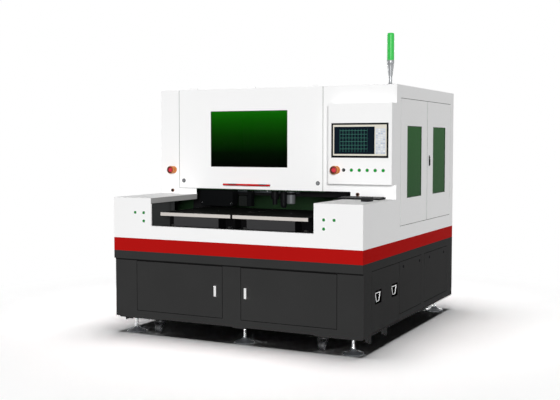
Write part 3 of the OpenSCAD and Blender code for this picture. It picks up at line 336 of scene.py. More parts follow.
def rounded(width, height, corner, steps=5, x0=0.0, y0=0.0):
    """Points of a rounded rectangle round (x0, y0), in millimetres: corner centres plus corner
    times the unit normal."""
    a = np.linspace(0, math.pi / 2, steps)[None, :] + np.arange(4)[:, None] * math.pi / 2
    cx = np.array([1, -1, -1, 1])[:, None] * (width / 2 - corner)
    cy = np.array([1, 1, -1, -1])[:, None] * (height / 2 - corner)
    return np.stack([x0 + cx + corner * np.cos(a), y0 + cy + corner * np.sin(a)], -1).reshape(-1, 2)


def rim(width, height, corner, profile):
    """A closed profile (out, up) in millimetres carried round a rounded rectangle: every point
    moves out along the path's normal and up along z."""
    path = rounded(width, height, corner)
    a = (np.linspace(0, math.pi / 2, 5)[None, :] + np.arange(4)[:, None] * math.pi / 2).reshape(-1)
    out, up = np.array(profile, float).T
    xy = path[:, None, :] + out[None, :, None] * np.stack([np.cos(a), np.sin(a)], -1)[:, None, :]
    points = np.concatenate([xy, np.broadcast_to(up[None, :, None], xy.shape[:2] + (1,))], -1) / 1000
    return closed(*grid(points, wrap_u=True, wrap_v=True))


FACING = {
    "up": ((1, 0, 0), (0, 1, 0), (0, 0, 1)),
    "front": ((1, 0, 0), (0, 0, 1), (0, -1, 0)),
    "right": ((0, 1, 0), (0, 0, 1), (1, 0, 0)),
    "left": ((0, -1, 0), (0, 0, 1), (-1, 0, 0)),
    "back": ((-1, 0, 0), (0, 0, 1), (0, 1, 0)),
}


def facing(side, places, shell):
    """The shell once for each place, its x, y and z laid along the three directions of a side."""
    points, tris = shell
    return [(points @ np.array(FACING[side], float) + np.array(p, float), tris) for p in places]


def piece(name, shells, material, body):
    """One object made of closed shells, with edges sharp above 35 degrees, on a body."""
    starts = np.cumsum([0] + [len(p) for p, _ in shells])
    points = np.concatenate([p for p, _ in shells])
    tris = np.concatenate([t + s for (_, t), s in zip(shells, starts)])
    mesh = bpy.data.meshes.new(name)
    mesh.from_pydata(points.tolist(), [], tris.tolist())
    mesh.polygons.foreach_set("use_smooth", np.ones(len(tris), bool))
    mesh.set_sharp_from_angle(angle=math.radians(35))
    mesh.materials.append(material)
    o = bpy.data.objects.new(name, mesh)
    bpy.context.scene.collection.objects.link(o)
    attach(o, body)
    return o


# Dull black strip with fine pores under the lip: painted shade for the lip's shadow on the doors.
lip_shade_black = skin("lip_shadow_black", "#0B0B0B", 0.9, 0.8, 0.1, ior=1.2, edge_mm=0.5)
strip_h = 10.4
strip = swept(rounded(4, strip_h, 1.5, x0=-1.8, y0=strip_h / 2), 1796)
strip_at = [(-half_w + 0.002, base_front, lip_z - 0.0106)]
piece("lip_shadow_strip", facing("right", strip_at, strip), lip_shade_black, "machine")

# Quarter-turn fastener: a flanged round head with a screwdriver slot 2.6 mm wide.
profile = [(r, 2.6) for r in (0, 1.3, 2.6, 3.9, 5.2, 6.6)]
profile += [(7.6, 2.1), (8, 0.9), (10.4, 0.8), (11, 0.3), (11, -0.4), (0, -0.4)]
points, tris = turned(profile, 40)
slot_half, slot_reach, top_from, slot_floor = 0.0013, 0.0068, 0.002, 0.0010
slotted = (np.abs(points[:, 0]) < slot_half) & (points[:, 2] > top_from)
slotted &= np.hypot(points[:, 0], points[:, 1]) < slot_reach
points[slotted, 2] = slot_floor
fastener_y, fastener_z = (-0.206, 0.138, 0.364, 0.714), 0.468
fasteners = []
for side, x in (("right", half_w), ("left", -half_w)):
    fasteners += facing(side, [(x, y, fastener_z) for y in fastener_y], (points, tris))
# Burnished black zinc on steel: dark with a soft shine.
black_zinc = skin("black_zinc_plate", "#08080A", 0.5, 0.6, 0.01, ior=1.06, edge_mm=0.4)
piece("quarter_turn_fasteners", fasteners, black_zinc, "machine")

# Button-head screw, M6, with a socket 4 mm across.
button_head = turned(
    [(0, 1.0), (2.2, 1.0), (2.2, 2.6), (3.3, 2.9), (4.6, 2.1), (5.3, 0.8), (5.4, -0.3), (0, -0.3)], 20
)
rear_cover_x = (-0.400, 0.400)
rear_cover_z = (0.163 + lip_z - 0.004) / 2
cover_screws = [
    (x + dx, back, rear_cover_z + dz)
    for x in rear_cover_x for dx in (-0.330, 0.0, 0.330) for dz in (-0.150, 0.150)
]
piece("rear_base_screws", facing("back", cover_screws, button_head), black_zinc, "machine")

# Pressed louvre: a hood over each slot that opens downwards. Its depth is 5 mm times (1 - u^4)
# times sin(pi v / 2), with u across and v down, and its sheet is 1 mm thick.
u, v = np.linspace(-1, 1, 13)[:, None], np.linspace(0, 1, 6)[None, :]
depth = 5.0 * (1 - u**4) * np.sin(math.pi * v / 2)
across, down = 38 * u + 0 * v, 6.0 - 10.0 * v + 0 * u
outer = np.stack([across, down, depth], -1)
inner = np.stack([across * 0.985, down - 0.8, np.maximum(depth - 1.0, -0.5)], -1)
louvre = closed(*grid(np.concatenate([outer, inner[:, ::-1]], 1) / 1000, wrap_v=True))
slot_x, slot_z = (np.arange(6) - 2.5) * 0.090, rear_cover_z - 0.037 + np.arange(6) * 0.018
louvres = facing("back", [(x + dx, back, z) for x in rear_cover_x for dx in slot_x for z in slot_z], louvre)
piece("rear_louvres", louvres, charcoal_coat, "machine")

# Chrome on a bent flat bar: bright, nearly a mirror, with the door's charcoal in it.
bar_chrome = skin(
    "bright_chrome_plate", "#E6E6E6", 0.22, 2.0, 0.0, metallic=1.0, edge_mm=0.6, stretch=(1, 1, 0.08)
)
finish(["front_handle_left", "front_handle_right"], bar_chrome)


def rod(path, radius, across, sides=14):
    """A round rod in millimetres along a flat path: each ring is the path's point plus radius times
    (cos a n + sin a across), n being at right angles to the path and to across."""
    p, b = np.array(path, float), np.array(across, float)
    t = np.gradient(p, axis=0)
    n = np.cross(t, b)
    n /= np.linalg.norm(n, axis=1, keepdims=True)
    a = np.arange(sides)[None, :, None] * 2 * math.pi / sides
    rings = p[:, None] + radius * (np.cos(a) * n[:, None] + np.sin(a) * b)
    ends = np.repeat(p[[0, -1], None], sides, axis=1)
    return closed(*grid(np.concatenate([ends[:1], rings, ends[1:]]) / 1000, wrap_v=True))


# Folding bail: a rod bent to a tapering loop with rounded corners, on a barrel whose pins turn in
# the walls of its dish.
bend_r, leg_top, leg_foot, leg_drop = 9, 42, 24, 44
run, arc = np.linspace(0, 1, 8), np.linspace(0, math.pi / 2, 6)
leg = np.stack([leg_top - (leg_top - leg_foot) * run, -leg_drop * run], -1)
bend = np.stack([leg_foot - bend_r * (1 - np.cos(arc)), -leg_drop - bend_r * np.sin(arc)], -1)
half_loop = np.concatenate([leg, bend[1:], [[8, -leg_drop - bend_r]]])
loop = np.concatenate([half_loop, (half_loop * [-1, 1])[::-1]])
loop = np.column_stack([loop, np.zeros(len(loop))])
straight = np.linspace(-1, 1, 9)[:, None] * [1, 0, 0]
barrel_half, barrel_r, pins_half, pins_r = 54, 3.4, 60, 2.6
outwards = (0, 0, 1)
bail_shells = [
    rod(loop, 2.9, outwards),
    rod(straight * barrel_half, barrel_r, outwards),
    rod(straight * pins_half, pins_r, outwards),
]
bail_x, bail_z = half_w - 0.007, 0.361
for end, y in (("front", -0.673), ("rear", -0.375)):
    shells = sum((facing("right", [(bail_x, y, bail_z)], shell) for shell in bail_shells), [])
    bail = piece("bail_loop_" + end, shells, bar_chrome, "bail_" + end)
    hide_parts("bail_" + end)


# ---- Levelling feet and casters ----
# Pressed zinc-plated pads on chromed M20 studs carry the machine. The casters are lifted clear of
# the floor: blackened pressings with grey nylon wheels, and a brake pedal on each swivel fork.

feet = [(x, y) for x in (-0.797, 0.045, 0.797) for y in (-0.830, 0.830)]
stud_zones = [(in_round((x, y, 0), 2, 0.0125), "#D8DADB", 0.18, 1.0) for x, y in feet]
# Zinc plate: grey, softly shining, with the fine grain of the pressed sheet.
pad_zinc = skin(
    "zinc_plated_pad", "#54575A", 0.45, 1.6, 0.02, metallic=0.3, ior=1.3, edge_mm=0.8, zones=stud_zones
)
finish(["levelling_feet"], pad_zinc)


def threaded(radius, pitch, depth, length, sides=28, rows=6):
    """A thread in millimetres: the radius grows by depth times |2 f - 1|, where f is the fraction
    of height / pitch - angle / turn."""
    z = np.linspace(0, length, int(length / pitch * rows) + 1)[:, None]
    a = np.arange(sides)[None, :] * 2 * math.pi / sides
    r = radius + depth * np.abs(2 * np.mod(z / pitch - a / (2 * math.pi), 1) - 1)
    wall = np.stack([r * np.cos(a), r * np.sin(a), z + 0 * a], -1)
    ends = wall[[0, -1]] * [0, 0, 1]
    return closed(*grid(np.concatenate([ends[:1], wall, ends[1:]]) / 1000, wrap_v=True))


# M20 thread of 2.5 mm pitch on the free length of each stud.
thread = threaded(10.02, 2.5, 0.55, 55)
# Chrome on the studs, and bright zinc on the small screws: both clean and shining.
stud_chrome = skin("chromed_stud", "#D8DADB", 0.2, 1.0, 0.0, metallic=1.0, edge_mm=0.3)
threads = facing("up", [(x, y, 0.0355) for x, y in feet], thread)
piece("stud_threads", threads, stud_chrome, "machine")

# Blackened steel: a thin dark coat with a low sheen.
black_steel = skin("blackened_steel", "#161718", 0.45, 1.0, 0.03, ior=1.4)
finish(["caster_mounts", "caster_fork_left", "caster_fork_right"], black_steel)
# Nylon wheels: dark grey, satin, with a pale moulded hub.
caster_x, caster_y, trail, axle_z = 0.602, 0.835, 0.020, 0.038
wheels = {
    "wheel_%s_%s" % (end, side): (sx * caster_x, sy * caster_y - trail)
    for end, sy in (("front", -1), ("rear", 1)) for side, sx in (("left", -1), ("right", 1))
}
hub_r = 0.021
hubs = [
    (in_round((0, y, axle_z), 0, hub_r), "#5E6062", 0.45, 0.0) for y in (-caster_y - trail, caster_y - trail)
]
nylon = skin("grey_nylon", "#232425", 0.5, 0.8, 0.02, zones=hubs)
finish(list(wheels), nylon)

# Ribbed wheel web: a ring 12 mm wide whose height swings by 0.6 mm six times round.
a = np.arange(48)[None, :] * math.pi / 24
r = np.array([9.4, 10.4, 15.0, 20.0, 21.4, 21.4, 9.4])[:, None]
swing = 0.6 * np.array([0, 1, 1, 1, 0, 0, 0])[:, None]
h = np.array([0.0, 1.3, 1.5, 1.3, 0.0, -0.6, -0.6])[:, None] + swing * np.cos(6 * a)
web = closed(*grid(np.stack([r * np.cos(a), r * np.sin(a), h], -1) / 1000, wrap_u=True, wrap_v=True))
axle_nut = turned([(0, 4.2), (3.4, 4.2), (5.4, 3.8), (6.6, 2.8), (6.6, 0.5), (6.0, 0), (0, 0)], 6)


def both_sides(x, y, off, shell):
    """The shell on both sides of a wheel, off metres from its middle."""
    return facing("right", [(x + off, y, axle_z)], shell) + facing("left", [(x - off, y, axle_z)], shell)


for name, (x, y) in wheels.items():
    piece(name + "_webs", both_sides(x, y, 0.012, web), nylon, name)
    nuts = both_sides(x, y, 0.022, axle_nut)
    holder = "caster_fork_" + name.split("_")[2] if "front" in name else "machine"
    piece(name + "_axle_nuts", nuts, stud_chrome, holder)

# Brake pedal: a plate 22 mm wide and 2.5 mm thick, bent along a curve that leaves the fork's
# crown, runs over the wheel and turns up at its toe.
s = np.linspace(0, 1, 14)[:, None]
spine = np.concatenate([-22 - 44 * s, 75 - 7 * np.sin(math.pi * s) + 6 * s**6], 1)
slope = np.gradient(spine, axis=0)
normal = np.stack([-slope[:, 1], slope[:, 0]], -1) / np.linalg.norm(slope, axis=1)[:, None]
half_plate, half_t = 11 * (1 - 0.25 * s**2), 1.25
corner_signs = ((-1, -1), (1, -1), (1, 1), (-1, 1))
edges = [np.concatenate([e * half_plate, spine + k * half_t * normal], 1) for e, k in corner_signs]
ring = np.stack(edges, 1)
mids = np.broadcast_to(ring[[0, -1]].mean(axis=1, keepdims=True), (2, 4, 3))
pedal = closed(*grid(np.concatenate([mids[:1], ring, mids[1:]]) / 1000, wrap_v=True))
for side, x in (("left", -caster_x), ("right", caster_x)):
    pedals = facing("up", [(x, -caster_y, 0)], pedal)
    piece("brake_pedal_" + side, pedals, black_steel, "caster_fork_" + side)


# ---- Electrical cabinet ----
# Zinc-coated mounting plates behind the base's front doors carry plastic modules with rows of
# screw terminals, and a slotted cable duct.

# ABS module housings: grey and satin, with a fine moulded grain.
module_shell = skin("module_shell_abs", "#9C9FA1", 0.5, 0.8, 0.02)
finish(["electronics"], module_shell)
# Seven terminals stand along the head and the foot of each of six modules.
terminal = turned([(0, 1.2), (1.6, 1.2), (1.6, 2.0), (3.0, 2.0), (3.4, 1.0), (3.4, -0.3), (0, -0.3)], 12)
plate_x, plate_half, module_pitch, module_face = -0.3975, 0.27594, 0.09198, -0.4375
module_x = plate_x - plate_half + (np.arange(6) + 0.1) * module_pitch
terminal_x = [x + 0.0082 + k * 0.008 for x in module_x for k in range(7)]
rows = [(x, module_face, z) for x in terminal_x for z in (0.352, 0.486)]
piece("module_terminals", facing("front", rows, terminal), stud_chrome, "machine")
duct_rib = swept(rounded(6.5, 36, 1.2, steps=3), 2.2)
duct_face, duct_z, rib_pitch = -0.3473, 0.284, 0.0125
ribs = facing("front", [(x, duct_face, duct_z) for x in np.arange(-0.650, -0.146, rib_pitch)], duct_rib)
# PVC duct: pale grey and matt.
duct_pvc = skin("duct_pvc", "#B4B6B8", 0.6, 0.8, 0.01)
piece("cable_duct_ribs", ribs, duct_pvc, "machine")


# ---- Coloured band ----
# A folded ring of sheet between the base and the housing, in semi-gloss red powder coat: smooth,
# with the long shallow waves of sprayed powder.

red_coat = skin("red_powder_coat", "#AD1513", 0.5, 3.0, 0.02, ior=1.04)
finish(["colour_band"], red_coat)


# ---- Machine bed and liner ----
# The bed is a ground granite block, dark with pale flecks. The sheets that line the bay are black
# powder coat.


def granite(name, colour, fleck, size_mm):
    """Ground granite: cells size_mm across take one of two tones, and the ground face is even."""
    m, t = blank_material(name)
    where = node(t, "ShaderNodeTexCoord")
    cells = node(t, "ShaderNodeTexVoronoi", {"Vector": (where, "Object")}, Scale=1000 / size_mm)
    grey = node(t, "ShaderNodeSeparateColor", {"Color": (cells, "Color")})
    pick = node(t, "ShaderNodeMapRange", {"Value": (grey, "Red")}, From_Min=0.75, From_Max=0.9)
    mix = node(t, "ShaderNodeMix", {"Factor": (pick, "Result")}, data_type="RGBA")
    mix.inputs[6].default_value = linear(colour)
    mix.inputs[7].default_value = linear(fleck)
    body = node(t, "ShaderNodeBsdfPrincipled", {"Base Color": (mix, 2)}, Roughness=0.35, IOR=1.4)
    node(t, "ShaderNodeOutputMaterial", {"Surface": (body, "BSDF")})
    return m


finish(["machine_bed"], granite("ground_granite", "#0B0C0D", "#1D2023", 3.0))
# Powder coat on the liner: black and matt, and greyer on the front half of the left sheet.
liner_left = (in_box((-0.640, -0.9385, 0.695), (-0.610, -0.60, 0.92)), "#3E4040", 0.6, 0.0)
liner_coat = skin("black_powder_coat", "#0A0B0B", 0.6, 1.4, 0.04, ior=1.06, zones=[liner_left])
finish(["bay_liner"], liner_coat)


# ---- Gantry, rails and heads ----
# A dark grey coated beam on two columns carries ground steel rails, an anodised carriage plate
# and two heads in black anodised aluminium. Counterbore caps close the rails' bolt holes.

# Powder coat on the beam: dark grey, satin.
finish(["gantry"], skin("dark_grey_powder_coat", "#141415", 0.5, 2.0, 0.03, ior=1.15))
# Ground steel: fine marks along the rail, dull where the light is low. The front ends of the bed's
# rails are painted black: painted shade for the dark of the bay.
rail_end_shade = (in_box((-0.6, -0.8345, 0.715), (0.6, -0.8325, 0.745)), "#101010", 0.5, 0.0)
ground_steel = skin(
    "ground_rail_steel", "#A9ACAF", 0.32, 1.2, 0.0, metallic=1.0, edge_mm=0.4, spread=0.25,
    stretch=(1, 0.05, 1), zones=[rail_end_shade],
)
finish(["linear_rails"], ground_steel)
table_top, plate_t, vacuum_box_h, rail_h, rail_off = 0.826, 0.022, 0.084, 0.022, 0.215
bed_rail_top = table_top - plate_t - vacuum_box_h + rail_h
rail_cap = turned([(0, 0.16), (3.6, 0.16), (4.2, 0.05), (4.4, -0.4), (0, -0.4)], 14)
worktable_x = [-0.010 - 0.2725, -0.010 + 0.2725]
rail_x = [x + off for x in worktable_x for off in (-rail_off, rail_off)]
cap_pitch, beam_rail_y, beam_rail_z = 0.06, -0.162, (0.968, 1.138)
bed_caps = [(x, y, bed_rail_top) for x in rail_x for y in np.arange(-0.81, 0.58, cap_pitch)]
beam_caps = [(x, beam_rail_y, z) for z in beam_rail_z for x in np.arange(-0.74, 0.76, cap_pitch)]
caps = facing("up", bed_caps, rail_cap) + facing("front", beam_caps, rail_cap)
piece("rail_bolt_caps", caps, black_zinc, "machine")

# Anodised aluminium: a metal dyed grey, with an even blasted grain.
finish(["x_carriage"], skin("grey_anodised_aluminium", "#4E5256", 0.42, 0.7, 0.01, metallic=0.8, edge_mm=0.6))
# Flush socket screws, M8, in the plate and in the heads' covers.
flush_screw = turned([(0, 0.2), (1.9, 0.2), (1.9, 1.0), (3.7, 1.0), (4.3, 0.5), (4.4, -0.3), (0, -0.3)], 16)
plate_screws = [(x, -0.188, z) for x in np.linspace(-0.600, 0.116, 13) for z in (0.944, 1.206)]
piece("carriage_screws", facing("front", plate_screws, flush_screw), stud_chrome, "x_carriage")
# Black anodised aluminium: deep black with a fine satin grain. The focus sensor's tube is
# anodised grey.
head_y, sensor_x = -0.250, 0.095
tube_zone = (in_round((sensor_x, head_y, 0.9), 2, 0.0305), "#5C5E60", 0.45, 0.2)
black_anodised = skin(
    "black_anodised_aluminium", "#0F0F11", 0.42, 0.7, 0.01, ior=1.12, edge_mm=0.6, zones=[tube_zone]
)
finish(["cutting_head"], black_anodised)
# Coated sheet housing: black and satin, with a dark grey blower block beside it.
blower = (in_box((-0.3075, -0.2735, 0.836), (-0.2425, -0.222, 0.912)), "#1B1D1C", 0.5, 0.0)
finish(["splitting_head"], skin("black_coated_housing", "#0D0E0F", 0.45, 0.9, 0.02, ior=1.08, zones=[blower]))


def knurled(radius, height, ribs):
    """A focusing ring in millimetres: a closed profile carried round the axis, whose outer face
    swings by 0.35 mm, ribs times round."""
    a = np.arange(ribs * 4)[:, None] * 2 * math.pi / (ribs * 4)
    out = np.array([-0.6, 1.2, 1.8, 1.8, 1.2, -0.6])[None, :]
    h = np.array([0, 0, 0.7, height - 0.7, height, height])[None, :] + 0 * a
    r = radius + out + 0.35 * np.cos(ribs * a) * (out > 1.5)
    return closed(*grid(np.stack([r * np.cos(a), r * np.sin(a), h], -1) / 1000, wrap_u=True, wrap_v=True))


rings = facing("up", [(-0.030, head_y, z) for z in (0.905, 0.955)], knurled(26, 14, 36))
rings += facing("up", [(0.038, head_y, z) for z in (0.872, 0.930)], knurled(22, 12, 32))
rings += facing("up", [(sensor_x, head_y, 0.925)], knurled(30, 16, 40))
piece("focusing_rings", rings, black_anodised, "cutting_head")
cast_screws = [(x, -0.284, z) for x in (-0.052, 0.032, 0.117) for z in (1.012, 1.098)]
piece("cutting_head_screws", facing("front", cast_screws, flush_screw), stud_chrome, "cutting_head")
housing_screws = [(x, -0.292, z) for x in (-0.598, -0.361) for z in (0.856, 0.99, 1.125)]
screws = facing("front", housing_screws, flush_screw)
piece("splitting_head_screws", screws, stud_chrome, "splitting_head")


# ---- Worktables ----
# Each worktable is a machined aluminium plate, bright at its edges and hard-anodised dark on top,
# with vacuum grooves. It stands on a black vacuum box with four bearing blocks.

table_front, table_back, trim, top_half = -0.906, -0.286, 0.0008, 0.2638
tops = [
    (
        in_box((x - top_half, table_front + trim, 0.8230), (x + top_half, table_back - trim, 0.83)),
        "#0A0B0A", 0.45, 0.0,
    )
    for x in worktable_x
]
right_edges = [
    (in_box((x + 0.2635, table_front + trim, 0.80), (x + 0.2655, table_back, 0.83)), "#0C0D0D", 0.5, 0.0)
    for x in worktable_x
]
# The vacuum boxes have a grey anodised front plate. Their sides and bearing blocks are black.
blocks = (in_box((-0.56, -0.8895, 0.72), (0.54, -0.30, 0.806)), "#0B0B0C", 0.5, 0.0)
box_anodised = skin("dark_grey_anodised", "#383839", 0.5, 0.7, 0.01, ior=1.08, zones=[blocks])
finish(["left_saddle", "right_saddle"], box_anodised)
# Milled aluminium: pale, with cutter marks along its edges.
plate = skin(
    "milled_aluminium_plate", "#C6C1BC", 0.4, 1.5, 0.01, ior=1.02, metallic=0.6, edge_mm=0.5,
    stretch=(0.1, 1, 1), zones=tops + right_edges,
)
finish(["left_table", "right_table"], plate)
table_screw = turned([(0, 0.03), (2.0, 0.03), (2.1, 0.15), (4.2, 0.15), (4.5, -0.15), (0, -0.15)], 16)
nipple = turned([(0, 6), (1.4, 6), (1.6, 4.6), (1.2, 4.0), (2.6, 2.6), (2.6, -0.3), (0, -0.3)], 12)
nipple_y, nipple_z = table_front + 0.0895, 0.776
for side, x in zip(("left", "right"), worktable_x):
    spots = [(x + dx, y, table_top) for dx in (-0.245, 0.0, 0.245) for y in (-0.888, -0.596, -0.304)]
    screws = facing("up", spots, table_screw)
    piece(side + "_table_screws", screws, stud_chrome, "worktable_" + side)
    nipples = facing("front", [(x + off, nipple_y, nipple_z) for off in (-rail_off, rail_off)], nipple)
    piece(side + "_grease_nipples", nipples, black_zinc, "worktable_" + side)


# ---- Table housing ----
# White semi-gloss powder coat on folded sheet. Green pilot lamps stand in bright bezels in the
# faces of the cheeks.

hood_front = -0.360
# Painted shade inside the hood: dark, and green as if lit through the green panes.
hood_inside_shade = (
    in_box((-half_w + below, hood_front + below, 0.60), (half_w - below, back - below, 1.6585)),
    "#2E4A2F", 0.6, 0.0,
)
# The deck's folded lips are painted grey where they turn down into the bay: painted shade.
bay_lip_shade = [
    (in_box((x - 0.003, -0.9385, 0.880), (x + 0.003, hood_front - below, 0.9192)), "#A2A2A1", 0.5, 0.0)
    for x in (-0.6015, 0.5815)
]
# Powder coat: smooth and white, with a shallow orange peel. Inside, the hood is painted dark green:
# painted shade, tinted by the green light that the panes let in.
white_coat = skin(
    "white_powder_coat", "#F3F3F3", 0.42, 3.0, 0.015, mottle=0.004, spread=0.06, ior=1.2,
    zones=[hood_inside_shade] + bay_lip_shade,
)
finish(["table_housing", "hood_shell", "hood_covers", "lift_door"], white_coat)
finish(["side_door_front", "side_door_rear", "control_box"], white_coat)
# Nickel bezels: bright and satin, round a glossy green polycarbonate lens.
lamp_lens = (in_box((-0.9, -0.960, 0.6), (0.9, -0.9421, 1.0)), "#0B7F2A", 0.25, 0.0)
lamp_bezel = skin(
    "bright_lamp_bezel", "#C9CBCC", 0.3, 0.8, 0.0, metallic=0.8, edge_mm=0.4, zones=[lamp_lens]
)
finish(["pilot_lamps"], lamp_bezel)


# ---- Hood ----
# The same white sheet covers the gantry, with a lift door, two side doors and screwed covers. The
# panes are green laser-safety acrylic behind thin rubber rims.


def tinted_acrylic(name, stops, low_z, high_z, opaque):
    """Cast green acrylic whose colour runs through the stops (place, colour) from low_z up to high_z:
    painted shade, darkest at its foot, where dark machinery stands behind it."""
    m, t = blank_material(name)
    where = node(t, "ShaderNodeTexCoord")
    axes = node(t, "ShaderNodeSeparateXYZ", {0: (where, "Object")})
    height = node(t, "ShaderNodeMapRange", {"Value": (axes, "Z")}, From_Min=low_z, From_Max=high_z)
    ramp = node(t, "ShaderNodeValToRGB", {"Fac": (height, "Result")})
    while len(ramp.color_ramp.elements) < len(stops):
        ramp.color_ramp.elements.new(0.5)
    for e, (place, colour) in zip(ramp.color_ramp.elements, stops):
        e.position, e.color = place, linear(colour)
    haze = node(t, "ShaderNodeTexNoise", {"Vector": (where, "Object")}, Scale=6.0, Detail=1.0)
    gloss = node(
        t, "ShaderNodeMapRange", {"Value": (haze, 0)}, From_Min=0.3, From_Max=0.7, To_Min=0.10, To_Max=0.16
    )
    links = {"Base Color": (ramp, "Color"), "Roughness": (gloss, "Result")}
    body = node(t, "ShaderNodeBsdfPrincipled", links, IOR=1.06, Alpha=opaque)
    node(t, "ShaderNodeOutputMaterial", {"Surface": (body, "BSDF")})
    return m


# The lift pane runs from near black at its foot to green at its top: painted shade.
lift_pane_shade_stops = [(0.0, "#010301"), (0.25, "#010D01"), (0.55, "#063102"), (0.82, "#0B5004"), (1.0, "#0F6906")]
lift_pane_z, side_pane_z = (1.116, 1.506), (0.919, 1.397)
finish(["lift_window"], tinted_acrylic("lift_pane_acrylic", lift_pane_shade_stops, *lift_pane_z, 0.88))
side_pane_shade_stops = [(0.0, "#245A28"), (1.0, "#29672B")]
side_pane = tinted_acrylic("side_pane_acrylic", side_pane_shade_stops, *side_pane_z, 0.85)
finish(["side_window_front", "side_window_rear"], side_pane)

# Rubber rim: black, matt, 3 mm wide, inside the edge of each opening.
rubber = skin("black_rubber", "#0C0C0C", 0.7, 0.8, 0.02, edge_mm=0.3)
rim_profile = [(-3.0, -3.0), (0.0, -3.0), (0.0, 0.2), (-0.6, 0.5), (-2.4, 0.5), (-3.0, 0.0)]
lift_rim = facing("front", [(-0.1815, hood_front, 1.311)], rim(603, 390, 1.5, rim_profile))
piece("lift_window_rim", lift_rim, rubber, "lift_door")
side_y, side_z = {"front": 0.0055, "rear": 0.5745}, 1.158
for end, y in side_y.items():
    side_rim = facing("right", [(half_w, y, side_z)], rim(303, 478, 1.5, rim_profile))
    piece("side_window_rim_" + end, side_rim, rubber, "side_door_" + end)

# Handle: a red lacquered rod on two dark posts. The top of the rod is dark for a short length near each post.
dark_rod_tops = [
    (in_box((x0, -0.402, 0.9950), (x1, -0.355, 1.003)), "#14181C", 0.4, 0.0)
    for x0, x1 in ((-0.322, -0.258), (-0.082, -0.022))
]
post_half = 0.0245
posts = [
    (in_box((x - post_half, -0.3862, 0.985), (x + post_half, -0.355, 1.003)), "#3A3F45", 0.4, 0.0)
    for x in (-0.3295, -0.0335)
]
finish(["lift_handle"], skin("red_lacquer", "#C80C12", 0.25, 2.0, 0.005, ior=1.4, zones=dark_rod_tops + posts))
# Chrome on the lock barrels: satin, with a dished face inside a dark ring.
lock_chrome = skin("chromed_lock_barrel", "#86888A", 0.3, 0.8, 0.0, metallic=1.0, edge_mm=0.4)
finish(["lift_lock_left", "lift_lock_right"], lock_chrome)
lock_ring = rim(22.6, 22.6, 11.2, [(0.0, -0.3), (3.2, -0.3), (3.0, 1.6), (1.8, 2.2), (0.0, 2.2)])
dish = [(r, 0.1) for r in (0, 1.6, 3.2, 4.8, 6.4)]
lock_face = turned(dish + [(8.2, 0.7), (9.8, 0.7), (10.4, 0.2), (10.4, -0.3), (0, -0.3)], 32)
lock_z = 1.014
for side, x in (("left", -0.710), ("right", 0.347)):
    ring_shell = facing("front", [(x, hood_front, lock_z)], lock_ring)
    face_shell = facing("front", [(x, hood_front - 0.003, lock_z)], lock_face)
    piece("lock_ring_" + side, ring_shell, black_zinc, "lift_door")
    piece("lock_face_" + side, face_shell, lock_chrome, "lift_lock_" + side)

# Pan-head screws hold the left and rear covers.
pan_head = turned(
    [(0, 1.3), (1.8, 1.3), (1.8, 2.2), (3.2, 2.3), (4.4, 1.5), (4.8, 0.4), (4.8, -0.3), (0, -0.3)], 18
)
left_spots = [
    (-half_w, y + dy, side_z + dz)
    for y in side_y.values() for dy in (-0.262, 0.262) for dz in (-0.395, 0.0, 0.395)
]
back_spots = [
    (x + dx, back, 1.1545 + dz)
    for x in (-0.330, 0.330) for dx in (-0.292, 0.0, 0.292) for dz in (-0.372, 0.0, 0.372)
]
hood_screws = facing("left", left_spots, pan_head) + facing("back", back_spots, pan_head)
piece("hood_cover_screws", hood_screws, stud_chrome, "machine")


# ---- Control box ----
# White folded box with a touch monitor, lit push buttons, a key selector and an emergency stop. A
# second emergency stop and two start buttons stand in the hood's posts.

box_front, control_z = -0.450, 1.108
# Matt black ABS of the monitor's bezel, the keyboard, the mouse and the side door's handle.
black_abs = skin("black_abs", "#151617", 0.5, 0.7, 0.02, ior=1.15, edge_mm=0.8)
finish(["monitor", "keyboard_set", "side_door_handle"], black_abs)


def display(name):
    """A lit panel with a pale ground. A dark drawing field holds a grid of pale lines, and a column
    of keys stands at its right: each area is a box, and its lines are bricks without offset."""
    m, t = blank_material(name)
    where = node(t, "ShaderNodeTexCoord")
    flat = node(t, "ShaderNodeMapping", {"Vector": (where, "Object")}, Rotation=(math.pi / 2, 0, 0))
    sheet = node(
        t, "ShaderNodeTexBrick", {"Vector": (flat, "Vector")}, offset=0.0, Scale=1.0, Mortar_Size=0.0007,
        Brick_Width=0.021, Row_Height=0.0235,
        Color1=linear("#0B1420"), Color2=linear("#0E1A22"), Mortar=linear("#4E8F7C"),
    )
    keys = node(
        t, "ShaderNodeTexBrick", {"Vector": (flat, "Vector")}, offset=0.0, Scale=1.0, Mortar_Size=0.0022,
        Brick_Width=0.0165, Row_Height=0.0125,
        Color1=linear("#A9B4C8"), Color2=linear("#E4E6E8"), Mortar=linear("#CFD0D0"),
    )
    field = in_box((0.505, -1, 1.212), (0.785, 0, 1.388))(t, where)
    lines = in_box((0.545, -1, 1.225), (0.735, 0, 1.372))(t, where)
    side = in_box((0.790, -1, 1.214), (0.860, 0, 1.378))(t, where)
    dark_field = node(t, "ShaderNodeMix", {"Factor": (field, 0)}, data_type="RGBA")
    dark_field.inputs[6].default_value = linear("#D6D2C6")
    dark_field.inputs[7].default_value = linear("#0C1620")
    before = dark_field
    for mask, pattern in ((lines, sheet), (side, keys)):
        links = {"Factor": (mask, 0), 6: (before, 2), 7: (pattern, "Color")}
        before = node(t, "ShaderNodeMix", links, data_type="RGBA")
    body = node(
        t, "ShaderNodeBsdfPrincipled", {"Base Color": (before, 2), "Emission Color": (before, 2)},
        Roughness=0.3, IOR=1.1, Emission_Strength=0.08,
    )
    node(t, "ShaderNodeOutputMaterial", {"Surface": (body, "BSDF")})
    return m


